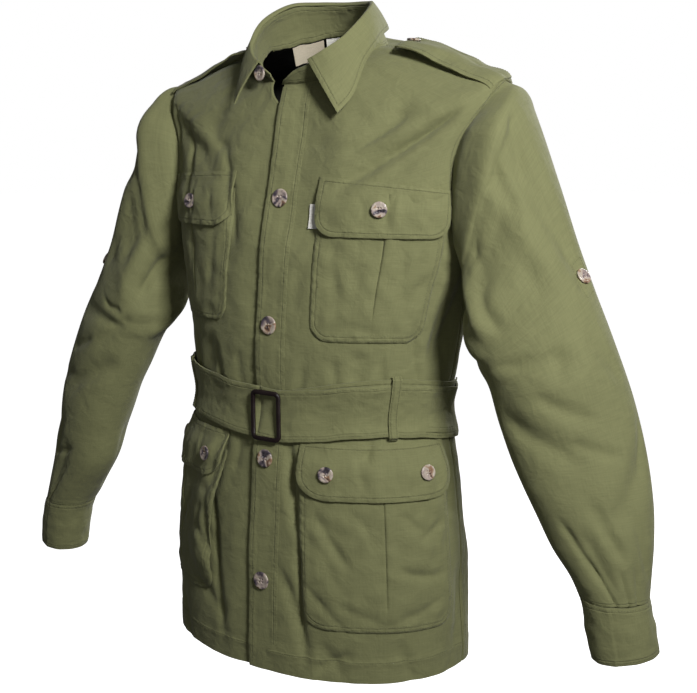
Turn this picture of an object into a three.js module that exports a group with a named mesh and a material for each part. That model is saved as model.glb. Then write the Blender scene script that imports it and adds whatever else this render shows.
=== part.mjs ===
// Safari jacket, standing filled out with nobody in it.
// Millimetres, +Z up, the front looks along -Y, the wearer's left is +X.
// The origin is the middle of the neck base, at the height of the shoulder-neck points.
import * as THREE from "three";

// Cloth and seams
const WALL = 1.2;
const SEAM = 0.3;
const LAYER = 1.6;
// Levels of the body
const HEM = -690;
const NECK = -46;
const UNDERARM = -236;
const SHOULDER = -112;
// Front opening and belt
const PLACKET_LEFT = -15;
const PLACKET_RIGHT = 22;
const BELT_WIDTH = 58;
const BELT_OUT = 4.2;
const BUTTON_RADIUS = 10;
const BUTTON_HEIGHT = 3;
const SMALL_RADIUS = 8.5;

const rad = (deg) => (deg * Math.PI) / 180;
const lerp = (a, b, t) => a + (b - a) * t;
const clamp = (v, lo, hi) => Math.min(hi, Math.max(lo, v));
const smooth = (v) => {
  const t = clamp(v, 0, 1);
  return t * t * (3 - 2 * t);
};
const vec = (x, y, z) => new THREE.Vector3(x, y, z);

// Column of a table read at a key, as a smooth curve through the rows.
function read(table, key, column) {
  const n = table.length;
  const k = clamp(key, table[0][0], table[n - 1][0]);
  let i = 0;
  while (i < n - 2 && table[i + 1][0] < k) i += 1;
  const slope = (j) => {
    const a = table[Math.max(0, j - 1)];
    const b = table[Math.min(n - 1, j + 1)];
    return (b[column] - a[column]) / (b[0] - a[0]);
  };
  const h = table[i + 1][0] - table[i][0];
  const s = (k - table[i][0]) / h;
  const a = table[i][column];
  const b = table[i + 1][column];
  return (
    (1 + 2 * s) * (1 - s) ** 2 * a +
    s * (1 - s) ** 2 * h * slope(i) +
    s * s * (3 - 2 * s) * b +
    s * s * (s - 1) * h * slope(i + 1)
  );
}

// Rings of the body: level, half width, front depth, back depth, middle, rise of the sides,
// rise of the back, power of the front, power of the back, shift to the side.
const RINGS = [
  [-728, 188, 129, 106, -17, 0, 0, 0.9, 1, 0],
  [-640, 187, 129, 106, -17, 0, 0, 0.9, 1, 0],
  [-560, 183, 127, 102, -17, 0, 0, 0.9, 1, 0],
  [-470, 173, 120, 92, -17, 0, 0, 0.9, 1, 0],
  [-436, 167, 116, 87, -17, 0, 0, 0.91, 1, 0],
  [-398, 159, 109, 81, -16, 0, 0, 0.92, 1, 0],
  [-362, 165, 114, 85, -14, 0, 0, 0.92, 1, 0],
  [-320, 170, 117, 92, -11, 0, 0, 0.93, 1, 0],
  [-262, 182, 115, 106, -8, 0, 0, 0.94, 0.98, 0],
  [-225, 193, 113, 114, -6, 4, 6, 0.95, 0.95, 0],
  [-190, 199, 110, 119, -4, 30, 36, 0.95, 0.95, 0],
  [-150, 204, 103, 116, -3, 58, 66, 0.97, 0.97, 0],
  [-112, 207, 94, 104, -2, 60, 84, 1, 1, 0],
  [-90, 172, 86, 92, -2, 51, 84, 1, 1, 0],
  [-68, 116, 78, 72, -2, 46, 76, 1, 1, -2],
  [-46, 74, 70, 55, -2, 42, 60, 1, 1, -6],
];

// Folds of the body: start angle, start level, end angle, end level, width, depth.
const FOLDS = [
  [66, -119, 16, -136, 15, -7],
  [52, -97, 20, -108, 13, -4],
  [-64, -120, -24, -138, 15, -7],
  [-44, -94, -16, -112, 13, -4],
  [88, -240, 74, -350, 19, -8],
  [-88, -240, -72, -350, 19, -8],
  [38, -322, 34, -368, 14, -4],
  [-34, -318, -30, -370, 14, -4],
  [118, -290, 118, -376, 20, -7],
  [150, -300, 148, -374, 18, -6],
  [-120, -290, -118, -376, 20, -7],
  [-150, -300, -150, -374, 18, -6],
  [122, -425, 120, -560, 20, -8],
  [152, -425, 154, -540, 18, -6],
  [-124, -425, -122, -545, 20, -8],
  [-154, -425, -152, -560, 18, -6],
];
const DEGREE = 2.9;

// Sum of the folds at a place, tapering to nothing at both ends of each.
function foldDepth(phi, level) {
  let sum = 0;
  for (const [a0, l0, a1, l1, width, depth] of FOLDS) {
    const dx = (a1 - a0) * DEGREE;
    const dz = l1 - l0;
    const length = Math.hypot(dx, dz);
    const px = (phi - a0) * DEGREE;
    const pz = level - l0;
    const along = (px * dx + pz * dz) / (length * length);
    const across = (px * dz - pz * dx) / length / width;
    const taper = smooth(along / 0.3) * smooth((1 - along) / 0.3);
    sum += depth * taper * Math.exp(-across * across);
  }
  return sum;
}

// Body surface without folds at an angle from the centre front, in degrees, and a level.
function body(phi, level) {
  const c = (column) => read(RINGS, level, column);
  const s = Math.sin(rad(phi));
  const k = Math.cos(rad(phi));
  const power = k > 0 ? c(7) : c(8);
  const depth = k > 0 ? c(2) : c(3);
  const front = Math.max(k, 0) ** 1.35;
  const back = Math.max(-k, 0) ** 1.6;
  return vec(
    c(9) + c(1) * Math.sign(s) * Math.abs(s) ** power,
    c(4) - depth * Math.sign(k) * Math.abs(k) ** power,
    level + c(5) * (1 - front - back) + c(6) * back,
  );
}

function outward(phi, level) {
  const a = body(phi + 0.4, level).sub(body(phi - 0.4, level));
  const b = body(phi, Math.min(level + 1, NECK)).sub(body(phi, level - 1));
  return a.cross(b).normalize();
}

// Point of the cloth, moved out, with its outward direction.
function on(phi, level, out = 0) {
  const n = outward(phi, level);
  const p = body(phi, level).addScaledVector(n, out + foldDepth(phi, level));
  return { p, n };
}

// Angle at which the body has a given x, on the front half.
function angleOf(x, level) {
  let lo = -89;
  let hi = 89;
  for (let i = 0; i < 30; i += 1) {
    const mid = (lo + hi) / 2;
    if (body(mid, level).x < x) lo = mid;
    else hi = mid;
  }
  return (lo + hi) / 2;
}

// Directions across a grid of points.
function normals(grid, closed) {
  const rows = grid.length;
  const n = grid[0].length;
  return grid.map((row, i) =>
    row.map((point, j) => {
      const up = grid[Math.min(i + 1, rows - 1)][j].clone().sub(grid[Math.max(i - 1, 0)][j]);
      const next = closed ? row[(j + 1) % n] : row[Math.min(j + 1, n - 1)];
      const last = closed ? row[(j + n - 1) % n] : row[Math.max(j - 1, 0)];
      return next.clone().sub(last).cross(up).normalize();
    }),
  );
}

// Closed wall round a grid of places, each a point with its direction.
function wallOf(grid, closed, wall = WALL) {
  const rows = grid.length;
  const n = grid[0].length;
  const positions = [];
  for (const side of [0.5, -0.5])
    for (const row of grid)
      for (const { p, n: dir } of row) {
        const q = p.clone().addScaledVector(dir, side * wall);
        positions.push(q.x, q.y, q.z);
      }
  const at = (side, i, j) => side * rows * n + i * n + (closed ? (j + n) % n : j);
  const faces = [];
  const quad = (a, b, c, d) => faces.push(a, b, c, a, c, d);
  const last = closed ? n : n - 1;
  for (let i = 0; i < rows - 1; i += 1)
    for (let j = 0; j < last; j += 1) {
      quad(at(0, i, j), at(0, i, j + 1), at(0, i + 1, j + 1), at(0, i + 1, j));
      quad(at(1, i, j), at(1, i + 1, j), at(1, i + 1, j + 1), at(1, i, j + 1));
    }
  for (let j = 0; j < last; j += 1) {
    quad(at(1, 0, j), at(1, 0, j + 1), at(0, 0, j + 1), at(0, 0, j));
    quad(at(0, rows - 1, j), at(0, rows - 1, j + 1), at(1, rows - 1, j + 1), at(1, rows - 1, j));
  }
  if (!closed)
    for (let i = 0; i < rows - 1; i += 1) {
      quad(at(0, i, 0), at(0, i + 1, 0), at(1, i + 1, 0), at(1, i, 0));
      quad(at(1, i, n - 1), at(1, i + 1, n - 1), at(0, i + 1, n - 1), at(0, i, n - 1));
    }
  return solid(positions, faces);
}

// Geometry facing out, whichever way round its rows were given.
function solid(positions, faces) {
  const v = (i) => vec(positions[3 * i], positions[3 * i + 1], positions[3 * i + 2]);
  let volume = 0;
  for (let i = 0; i < faces.length; i += 3)
    volume += v(faces[i]).dot(v(faces[i + 1]).cross(v(faces[i + 2])));
  if (volume < 0)
    for (let i = 0; i < faces.length; i += 3)
      [faces[i], faces[i + 1]] = [faces[i + 1], faces[i]];
  const g = new THREE.BufferGeometry();
  g.setAttribute("position", new THREE.Float32BufferAttribute(positions, 3));
  g.setIndex(faces);
  g.computeVertexNormals();
  return g;
}

const material = (name, colour, roughness) =>
  new THREE.MeshStandardMaterial({ name, color: colour, roughness, metalness: 0 });
const CLOTH = material("cloth", 0x6e724c, 0.9);
const HORN = material("button_horn", 0x6b5344, 0.35);
const BUCKLE = material("buckle_brown", 0x2a1d16, 0.35);
const LABEL = material("neck_label", 0xb9a888, 0.85);
const TAG = material("white_label", 0xe8e6e0, 0.85);

const jacket = new THREE.Group();
jacket.name = "jacket";
function add(name, geometry, mat = CLOTH) {
  const mesh = new THREE.Mesh(geometry, mat);
  mesh.name = name;
  jacket.add(mesh);
}

// Level at which the body has a given height, at an angle.
function levelOf(phi, z) {
  let lo = -728;
  let hi = NECK;
  for (let i = 0; i < 30; i += 1) {
    const mid = (lo + hi) / 2;
    if (body(phi, mid).z < z) lo = mid;
    else hi = mid;
  }
  return (lo + hi) / 2;
}
const at = (phi, z, out) => on(phi, levelOf(phi, z), out);
const plainAt = (phi, z, out) => {
  const level = levelOf(phi, z);
  const n = outward(phi, level);
  return { p: body(phi, level).addScaledVector(n, out), n };
};
const phiAt = (x, z) => angleOf(x, levelOf(angleOf(x, z), z));

// Armhole: level, how far its edge stands from the side line in front, and behind.
const ARMHOLE = [
  [-236, 0, 0],
  [-230, 9, 8],
  [-221, 15, 13],
  [-208, 20, 17],
  [-192, 23, 20],
  [-173, 25, 22],
  [-153, 25, 22],
  [-136, 22, 19],
  [-123, 17, 14],
  [-115.5, 9, 8],
  [-112, 0, 0],
];
const notch = (level, column) =>
  level <= UNDERARM || level >= SHOULDER ? 0 : Math.max(0, read(ARMHOLE, level, column));
const BELOW = [HEM, -648, -600, -552, -506, -466, -434, -402, -370, -338, -304, -270];
const ABOVE = [-101, -88, -74, -60, NECK];
const ROWS = [...BELOW, ...ARMHOLE.map((row) => row[0]), ...ABOVE];
const EDGE_ANGLE = 0.06;
const steps = (count) => Array.from({ length: count + 1 }, (_, i) => i / count);

// Front panels: the placket edge is the left front's own edge.
const FRONT_COLUMNS = 13;
const edgeGap = (level) => (level <= UNDERARM || level >= SHOULDER ? EDGE_ANGLE : 0);
const bandAngles = (level, from, to) => steps(2).map((t) => angleOf(lerp(from, to, t), level));
const leftFront = ROWS.map((level) => {
  const band = bandAngles(level, PLACKET_LEFT, PLACKET_RIGHT);
  const to = 90 - notch(level, 1) - edgeGap(level);
  const rest = steps(FRONT_COLUMNS - 2).slice(1).map((t) => lerp(band[2], to, t));
  return [...band, ...rest].map((phi) => on(phi, level));
});
add("front_left", wallOf(leftFront, false));

// The right front runs under the left one, and its top corner stands open.
const OPEN_TOP = -92;
const OPEN_ANGLE = -20;
const rightFront = ROWS.map((level) => {
  const under = angleOf(PLACKET_RIGHT - 6, level);
  const from = lerp(under, OPEN_ANGLE, smooth((level - OPEN_TOP) / (NECK - OPEN_TOP)));
  const to = -90 + notch(level, 1) + edgeGap(level);
  return steps(FRONT_COLUMNS).map((t) => {
    const phi = lerp(from, to, t ** 0.85);
    const lap = smooth((phi - angleOf(PLACKET_LEFT, level) + 9) / 8);
    return on(phi, level, -2.6 * lap);
  });
});
add("front_right", wallOf(rightFront, false));

// Back
const BACK_COLUMNS = 17;
const back = ROWS.map((level) => {
  const from = 90 + notch(level, 2) + edgeGap(level);
  const to = 270 - notch(level, 2) - edgeGap(level);
  return steps(BACK_COLUMNS).map((t) => on(lerp(from, to, t), level));
});
add("back", wallOf(back, false));

// Placket: band on the left front, with the buttons on it.
const placket = ROWS.filter((level) => level <= -60).concat([-48.5]).map((level) =>
  bandAngles(level, PLACKET_LEFT + 0.3, PLACKET_RIGHT).map((phi) => on(phi, level, LAYER)),
);
add("placket", wallOf(placket, false));

// Sleeves: place along, outer point, inner point, half depth, turn of the depth from straight
// ahead; before the first ring comes the armhole.
const SLEEVE_LEFT = [
  [0, 225, 6, -45, 199, -4, -245, 60, 4],
  [1, 247, 10, -87, 205, -22, -262, 64, 12],
  [2, 279, 10, -160, 211, -48, -292, 62, 25],
  [3, 307, 8, -231, 220, -66, -322, 58, 35],
  [4, 342, -5, -294, 235, -80, -350, 54, 35],
  [5, 376, -10, -373, 262, -84, -402, 48, 33],
  [6, 397, -20, -447, 288, -86, -452, 42, 31],
  [7, 404, -28, -505, 318, -84, -506, 37, 33],
  [8, 404, -30, -556, 346, -80, -554, 32, 40],
  [9, 409, -30, -585, 351, -79, -585, 31, 41],
  [10, 413, -30, -608, 357, -76, -614, 30, 39],
];
const SLEEVE_RIGHT = [
  [0, 225, 6, -45, 199, -4, -245, 60, 4],
  [1, 244, 4, -87, 205, -22, -262, 62, 12],
  [2, 267, 0, -160, 209, -48, -292, 58, 25],
  [3, 289, -6, -231, 214, -66, -322, 54, 35],
  [4, 320, -12, -294, 226, -76, -350, 50, 35],
  [5, 352, -16, -373, 250, -80, -402, 46, 33],
  [6, 374, -22, -447, 276, -82, -452, 41, 31],
  [7, 388, -28, -515, 310, -82, -516, 36, 33],
  [8, 399, -32, -574, 340, -80, -572, 32, 40],
  [9, 407, -32, -603, 347, -79, -603, 31, 41],
  [10, 413, -32, -630, 353, -76, -634, 30, 39],
];
// Folds of a sleeve: start angle, start place, end angle, end place, width, depth.
const SLEEVE_FOLDS = [
  [60, 0.4, 30, 3.4, 14, -8],
  [100, 0.6, 75, 3, 13, -7],
  [150, 3.2, 60, 4.2, 14, -5],
  [170, 4.4, 80, 5.6, 14, -6],
  [300, 3, 250, 5, 16, -6],
  [20, 5.2, 80, 6.6, 14, -5],
  [110, 6.4, 100, 7.8, 11, -4],
  [220, 6, 240, 7.8, 13, -5],
];
const CUFF_START = 8;
const CUFF_WALL = 2;

// Ring of a sleeve at a place along; a fold moves a point in or out.
function ring(table, place, side, count) {
  const c = (column) => read(table, place, column);
  const ahead = (column) => read(table, place + 0.1, column) - read(table, place - 0.1, column);
  const outer = vec(c(1), c(2), c(3));
  const half = outer.clone().sub(vec(c(4), c(5), c(6))).multiplyScalar(0.5);
  const mid = outer.clone().sub(half);
  const run = vec(ahead(1) + ahead(4), ahead(2) + ahead(5), ahead(3) + ahead(6)).normalize();
  const deep = vec(Math.sin(rad(c(8))), -Math.cos(rad(c(8))), 0).multiplyScalar(c(7));
  return Array.from({ length: count }, (_, i) => {
    const a = (360 * i) / count;
    const dir = half.clone().multiplyScalar(Math.cos(rad(a)));
    dir.addScaledVector(deep, Math.sin(rad(a)));
    const p = mid.clone().add(dir);
    const flat = dir.clone().addScaledVector(run, -dir.dot(run)).normalize();
    if (place < CUFF_START) p.addScaledVector(flat, sleeveFold(a, place));
    p.x *= side;
    flat.x *= side;
    return { p, n: flat };
  });
}

function sleeveFold(a, place) {
  let sum = 0;
  for (const [a0, s0, a1, s1, width, depth] of SLEEVE_FOLDS) {
    const dx = (a1 - a0) * 1.1;
    const dz = (s1 - s0) * 68;
    const length = Math.hypot(dx, dz);
    const px = (a - a0) * 1.1;
    const pz = (place - s0) * 68;
    const along = (px * dx + pz * dz) / (length * length);
    const across = (px * dz - pz * dx) / length / width;
    sum += depth * smooth(along / 0.3) * smooth((1 - along) / 0.3) * Math.exp(-across * across);
  }
  return sum;
}

// Armhole edge: from the shoulder down the front to the underarm, and up the back.
function armholeRing(side) {
  const levels = ARMHOLE.map((row) => row[0]).reverse();
  const places = levels.map((level) => [side * (90 - notch(level, 1)), level]);
  for (const level of levels.slice(1, -1).reverse())
    places.push([side * (90 + notch(level, 2)), level]);
  const points = places.map(([phi, level]) => on(phi, level));
  const middle = vec(side * 200, 0, -145);
  return points.map(({ p, n }, i) => {
    const next = points[(i + 1) % points.length].p;
    const last = points[(i + points.length - 1) % points.length].p;
    const away = next.clone().sub(last).cross(n).normalize();
    if (away.dot(middle.clone().sub(p)) < 0) away.negate();
    return { p: p.clone().addScaledVector(away, SEAM + 0.1), n };
  });
}

function sleeve(side, table) {
  const first = armholeRing(side);
  const places = [0, 0.6, 1.3, 2, 2.7, 3.4, 4.1, 4.8, 5.5, 6.2, 6.9, 7.5, 8];
  const rings = places.map((place) => ring(table, place, side, first.length));
  const grid = [first.map((f) => f.p), ...rings.map((r) => r.map((f) => f.p))];
  const dirs = normals(grid, true);
  return grid.map((row, i) =>
    row.map((p, j) => {
      if (i === 0) return { p, n: first[j].n };
      if (i === grid.length - 1) return { p, n: rings[i - 1][j].n };
      const flat = rings[i - 1][j].n;
      return { p, n: dirs[i][j].multiplyScalar(Math.sign(dirs[i][j].dot(flat)) || 1) };
    }),
  );
}
for (const [name, side, table] of [["left", 1, SLEEVE_LEFT], ["right", -1, SLEEVE_RIGHT]]) {
  add("sleeve_" + name, wallOf(sleeve(side, table), true));
  const rings = [CUFF_START + 0.02, 9, 10].map((place) => ring(table, place, side, 20));
  add("cuff_" + name, wallOf(rings, true, CUFF_WALL));
}

// Collar: angle round the neck, top of the stand, lower edge of the leaf.
const COLLAR = [
  [-11, -13, -76, -41, 0, 0, 0],
  [0, 0, -80, -33, 0, 0, 0],
  [20, 22, -81, -25, 67, -93, -77],
  [38, 39, -76, -15, 74, -74, -58],
  [60, 53, -58, -1, 79, -47, -25],
  [90, 61, -28, 23, 78, -10, 2],
  [120, 51, 4, 38, 63, 28, 14],
  [150, 27, 26, 41, 34, 57, 19],
  [180, -5, 34, 42, -5, 66, 21],
  [210, -36, 27, 41, -44, 57, 19],
  [240, -61, 4, 37, -74, 28, 13],
  [270, -73, -31, 21, -85, -12, 1],
  [300, -71, -52, -1, -88, -48, -25],
  [318, -60, -65, -16, -82, -70, -50],
  [330, -46, -72, -25, -73, -85, -66],
  [340, -31, -76, -34, 0, 0, 0],
];
const STAND_WALL = 1.6;
const LEAF_WALL = 1.6;
const topAt = (phi) => vec(read(COLLAR, phi, 1), read(COLLAR, phi, 2), read(COLLAR, phi, 3));
const stops = COLLAR.map((row) => row[0]).flatMap((phi, i, all) =>
  i && phi - all[i - 1] > 25 ? [(phi + all[i - 1]) / 2, phi] : [phi],
);
const stand = [0, 0.5, 1].map((t) =>
  stops.map((phi) => {
    const seam = on(phi, NECK);
    const rise = seam.p.clone().sub(on(phi, NECK - 1).p).normalize();
    const p = seam.p.clone().addScaledVector(rise, SEAM + 0.4).lerp(topAt(phi), t);
    const out = vec(p.x + 5, p.y + 26, 0).normalize();
    return { p: p.addScaledVector(out, 3 * t * (1 - t)), n: t ? out : seam.n };
  }),
);
add("collar_stand", wallOf(stand, false, STAND_WALL));

// The leaf starts on the stand's top edge, rolls over it and falls outside.
const leafRows = COLLAR.filter((row) => row[5] !== 0);
const leafStops = leafRows.map((row) => row[0]).flatMap((phi, i, all) =>
  i && phi - all[i - 1] > 25 ? [(phi + all[i - 1]) / 2, phi] : [phi],
);
const leafGrid = [0, 0.06, 0.16, 0.4, 0.7, 1].map((t) =>
  leafStops.map((phi) => {
    const top = topAt(phi);
    const out = vec(top.x + 5, top.y + 26, 0).normalize();
    const low = vec(read(leafRows, phi, 4), read(leafRows, phi, 5), read(leafRows, phi, 6));
    const roll = smooth(t / 0.16);
    const p = top.clone().addScaledVector(out, 3.4 * roll);
    p.z += 0.5 + STAND_WALL / 2 + 3.2 * Math.sin(Math.PI * clamp(t / 0.16, 0, 1) * 0.62);
    p.lerp(low, t < 0.16 ? 0 : (t - 0.16) / 0.84);
    if (t > 0.16) p.addScaledVector(out, 2.4 * Math.sin((Math.PI * (t - 0.16)) / 0.84));
    return p;
  }),
);
const leafDirs = normals(leafGrid, false);
add(
  "collar_leaf",
  wallOf(leafGrid.map((row, i) => row.map((p, j) => ({ p, n: leafDirs[i][j] }))), false, LEAF_WALL),
);

// Patch on the body: edges in x or angle against height, top and bottom against the way across.
function patch(name, { inner, outer, top, bottom, out, across = 9, down = 8, mat, wall }) {
  const grid = steps(down).map((v) =>
    steps(across).map((u) => {
      const bend = 0.5 - 0.5 * Math.cos(Math.PI * u);
      const w = lerp(u, bend, 0.8);
      const z = lerp(top(w), bottom(w), v);
      return at(lerp(inner(z), outer(z), w), z, out(w, v, z));
    }),
  );
  add(name, wallOf(grid, false, wall), mat);
}

// Rounded lower corners: how far the edge rises at a share of the way across.
const corner = (share, rise, cut) => {
  const e = clamp((Math.abs(share - 0.5) - (0.5 - cut)) / cut, 0, 1);
  return rise * (1 - Math.sqrt(1 - e * e));
};
const rim = (u, v, edge) =>
  Math.min(smooth(u / edge), smooth((1 - u) / edge), smooth((1 - v) / edge), smooth(v / edge));

// Breast pockets: side, inner edge, outer angle, flap top inside and outside, flap and bag bottoms.
for (const [name, side, inner, outer, top, topOut, flap, bag] of [
  ["left", 1, 52, 63.5, -142, -156, -205, -315],
  ["right", -1, 62, 61, -139, -146, -200, -305],
]) {
  const innerAngle = (x) => (z) => side * phiAt(x, z);
  patch("breast_bag_" + name, {
    inner: innerAngle(inner),
    outer: () => side * outer,
    top: () => -180,
    bottom: (u) => bag + corner(u, 20, 0.15),
    out: (u, v) => 1.7 + 3.3 * rim(u, v, 0.12),
  });
  patch("breast_flap_" + name, {
    inner: innerAngle(inner - 2),
    outer: () => side * (outer + 1),
    top: (u) => lerp(top, topOut, u),
    bottom: (u) => flap + corner(u, 20, 0.2),
    out: (u, v) => 1.7 + 5.9 * smooth(v / 0.5),
    down: 4,
  });
}

// Lower pockets
for (const [name, side, inner, low, outer, flap, bag, stand_off] of [
  ["left", 1, 45, 50, 82, -490, -630, 2],
  ["right", -1, 54, 68, 82, -484, -620, 13],
]) {
  const innerAngle = (x) => (z) => side * phiAt(lerp(x, low, smooth((-440 - z) / 160)), z);
  patch("lower_bag_" + name, {
    inner: innerAngle(inner + 2),
    outer: () => side * (outer - 1),
    top: () => -450,
    bottom: (u) => bag + corner(u, 28, 0.16),
    out: (u, v) => {
      const proud = stand_off * smooth((0.35 - u) / 0.35) * smooth(v / 0.5) * smooth((1 - v) / 0.3);
      return 1.7 + 3.8 * smooth(v / 0.3) * rim(u, v, 0.1) + proud;
    },
    across: 10,
    down: 9,
  });
  patch("lower_flap_" + name, {
    inner: innerAngle(inner),
    outer: () => side * outer,
    top: () => -431.5,
    bottom: (u) => flap + corner(u, 24, 0.17),
    out: (u, v) => 1.7 + (6.6 + 0.3 * stand_off * smooth((0.35 - u) / 0.35)) * smooth(v / 0.6),
    across: 10,
    down: 4,
  });
}

// Belt: angle, height of its middle.
const BELT = [
  [-180, -398],
  [-120, -392],
  [-60, -389],
  [-8, -400],
  [6, -401.5],
  [30, -395],
  [52, -391],
  [75, -396],
  [92, -401],
  [130, -400],
  [180, -398],
];
const beltGrid = (angles, out, width) =>
  [1, 0, -1].map((t) =>
    angles.map((phi) => plainAt(phi, read(BELT, phi, 1) + (t * width) / 2, out)),
  );
const turn = (count) => Array.from({ length: count }, (_, i) => -180 + (360 * i) / count);
add("belt", wallOf(beltGrid(turn(40), BELT_OUT + 1.6, BELT_WIDTH), true, 1.8));
const tipAngles = steps(11).map((t) => lerp(10, 108, t));
add(
  "belt_tip",
  wallOf(
    beltGrid(tipAngles, BELT_OUT - 1.1, BELT_WIDTH).map((row, i) =>
      row.map((place) => ({ p: place.p.add(vec(0, 0, i ? 0 : 6)), n: place.n })),
    ),
    false,
    1.4,
  ),
);
for (const [name, phi, up] of [["left", 53.5, 5], ["right", -53.5, 0], ["back", 180, 0]]) {
  const middle = read(BELT, phi, 1);
  const grid = [36 + up, 33 + up, 31 + up, 0, -31, -33, -36].map((dz, i) => {
    const out = i === 0 || i === 6 ? 1.6 : i === 1 || i === 5 ? 4.4 : BELT_OUT + 3.9;
    return [-2.2, 2.2].map((d) => plainAt(phi + d, middle + dz, out));
  });
  add("belt_loop_" + name, wallOf(grid, false));
}

// Buckle: rounded frame standing on the belt.
const BUCKLE_SIZE = { left: -16, right: 22, low: -431, high: -372, corner: 7, bar: 2.6, skew: 0.07 };
const buckle = () => {
  const { left, right, low, high, corner: c, bar, skew } = BUCKLE_SIZE;
  const path = [];
  for (const [cx, cz, from] of [
    [right - c, high - c, 0],
    [left + c, high - c, 90],
    [left + c, low + c, 180],
    [right - c, low + c, 270],
  ])
    for (const t of [0, 45, 90]) {
      const a = rad(from + t);
      const dir = vec(Math.cos(a), 0, Math.sin(a));
      path.push([cx + (c - bar) * dir.x, cz + (c - bar) * dir.z, dir]);
    }
  const grid = steps(5).map((s) => s * 360 * (5 / 6)).map((angle) =>
    path.map(([x, z, dir]) => {
      const shift = skew * ((low + high) / 2 - z);
      const { p, n } = plainAt(phiAt(x + shift, z), z, BELT_OUT + 5.4);
      p.addScaledVector(dir, bar * Math.cos(rad(angle)));
      return p.addScaledVector(n, 2 * Math.sin(rad(angle)));
    }),
  );
  return loopOf(grid);
};

// Closed surface over a grid that closes both ways.
function loopOf(grid) {
  const rows = grid.length;
  const n = grid[0].length;
  const positions = grid.flat().flatMap((p) => [p.x, p.y, p.z]);
  const faces = [];
  for (let i = 0; i < rows; i += 1)
    for (let j = 0; j < n; j += 1) {
      const a = i * n + j;
      const b = i * n + ((j + 1) % n);
      const c = ((i + 1) % rows) * n + ((j + 1) % n);
      const d = ((i + 1) % rows) * n + j;
      faces.push(a, b, c, a, c, d);
    }
  return solid(positions, faces);
}
add("buckle", buckle(), BUCKLE);

// Epaulettes: level rows along the shoulder, places across it.
for (const [name, side] of [["left", 1], ["right", -1]]) {
  const grid = [-57, -63, -73, -84, -95, -106].map((level, i) => {
    const width = i === 0 ? 13 : 22 + i * 0.5;
    return [-1, -0.5, 0, 0.5, 1].map((t) => {
      const y = t * width;
      const middle = read(RINGS, level, 4);
      const depth = y < middle ? read(RINGS, level, 2) : read(RINGS, level, 3);
      const phi = (Math.acos(clamp((middle - y) / depth, -1, 1)) * 180) / Math.PI;
      const lift = (5 + (t < 0 ? 5 * t * t : 0)) * Math.sin((Math.PI * i) / 5);
      return on(side * phi, level, (i < 5 ? 2.2 : 1.5) + lift);
    });
  });
  add("epaulette_" + name, wallOf(grid, false, 1.4));
}

// Labels
function hung(name, from, to, drop, mat) {
  const grid = [0, 1].map((t) =>
    [from, (from + to) / 2, to].map((phi) => {
      const { p, n } = on(phi, NECK - 2, -1.2);
      const q = p.add(vec(0, 0, -drop * t)).addScaledVector(vec(n.x, n.y, 0), -4 * t - 0.3);
      return { p: q, n: vec(n.x, n.y, 0).normalize() };
    }),
  );
  add(name, wallOf(grid, false, 0.8), mat);
}
hung("neck_label", 209.5, 244, 25, LABEL);
hung("size_label", 188, 206, 14, TAG);
patch("pocket_tag", {
  inner: (z) => phiAt(41, z),
  outer: (z) => phiAt(51.6, z),
  top: () => -171,
  bottom: () => -197,
  out: () => 1.4,
  across: 1,
  down: 1,
  mat: TAG,
  wall: 0.8,
});

// Buttons, each a disc on the cloth.
function button(name, { p, n }, radius) {
  const g = new THREE.CylinderGeometry(radius, radius, BUTTON_HEIGHT, 12);
  g.applyQuaternion(new THREE.Quaternion().setFromUnitVectors(vec(0, 1, 0), n));
  g.translate(p.x, p.y, p.z);
  const clean = new THREE.BufferGeometry();
  clean.setAttribute("position", g.getAttribute("position"));
  clean.setIndex(g.index);
  clean.computeVertexNormals();
  add(name, clean, HORN);
}
const lift = WALL / 2 + BUTTON_HEIGHT / 2 + 0.4;
[-166, -302.5, -449, -586].forEach((z, i) =>
  button("button_front_" + (i + 1), at(phiAt(3, z), z, LAYER + lift), BUTTON_RADIUS),
);
for (const [name, phi, z, out] of [
  ["breast_left", 36, -176, 8],
  ["breast_right", -42.5, -175, 8],
  ["lower_left_1", 24.5, -457, 8.2],
  ["lower_left_2", 68, -457, 7.9],
  ["lower_right_1", -25, -457, 10.9],
  ["lower_right_2", -76, -457, 8.1],
])
  button("button_" + name, at(phi, z, out + lift), SMALL_RADIUS);
const standFace = on(-41, NECK);
standFace.p.lerp(topAt(319), 0.36).addScaledVector(vec(-0.5, -0.87, 0), 6.4 + lift);
button("button_stand", { p: standFace.p, n: vec(-0.5, -0.87, 0) }, SMALL_RADIUS);
for (const [name, side, table, angle, off] of [
  ["left", 1, SLEEVE_LEFT, 30, 2.2],
  ["right", -1, SLEEVE_RIGHT, 45, 1],
]) {
  const { p, n } = ring(table, 3.2, side, 24)[Math.round(angle / 15)];
  button("button_sleeve_" + name, { p: p.addScaledVector(n, lift + off), n }, SMALL_RADIUS);
  const tip = on(side * 86, -67, 7.6 + lift);
  button("button_epaulette_" + name, tip, 7.5);
}

export default jacket;
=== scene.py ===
"""Belted safari jacket, filled out with nobody in it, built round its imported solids.

The shape functions work in millimetres in the frame of the solids: +X is the wearer's left, -Y the
front and +Z up, from the middle of the neck base. Meshes are written in metres.
"""

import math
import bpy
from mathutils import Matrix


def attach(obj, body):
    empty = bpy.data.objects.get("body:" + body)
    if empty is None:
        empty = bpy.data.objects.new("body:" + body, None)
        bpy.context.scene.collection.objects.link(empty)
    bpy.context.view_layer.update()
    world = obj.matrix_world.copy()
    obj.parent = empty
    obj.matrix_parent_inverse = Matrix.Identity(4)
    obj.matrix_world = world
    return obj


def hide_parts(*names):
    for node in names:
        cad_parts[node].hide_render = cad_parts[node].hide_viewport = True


bl_info = {
    "name": "Safari Jacket",
    "version": (1, 0, 0),
    "blender": (4, 5, 0),
    "location": "View3D > Sidebar > Jacket",
    "description": "Cloth, buttons, buckle, labels and stitching of a belted safari jacket",
    "category": "Add Mesh",
}

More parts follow.
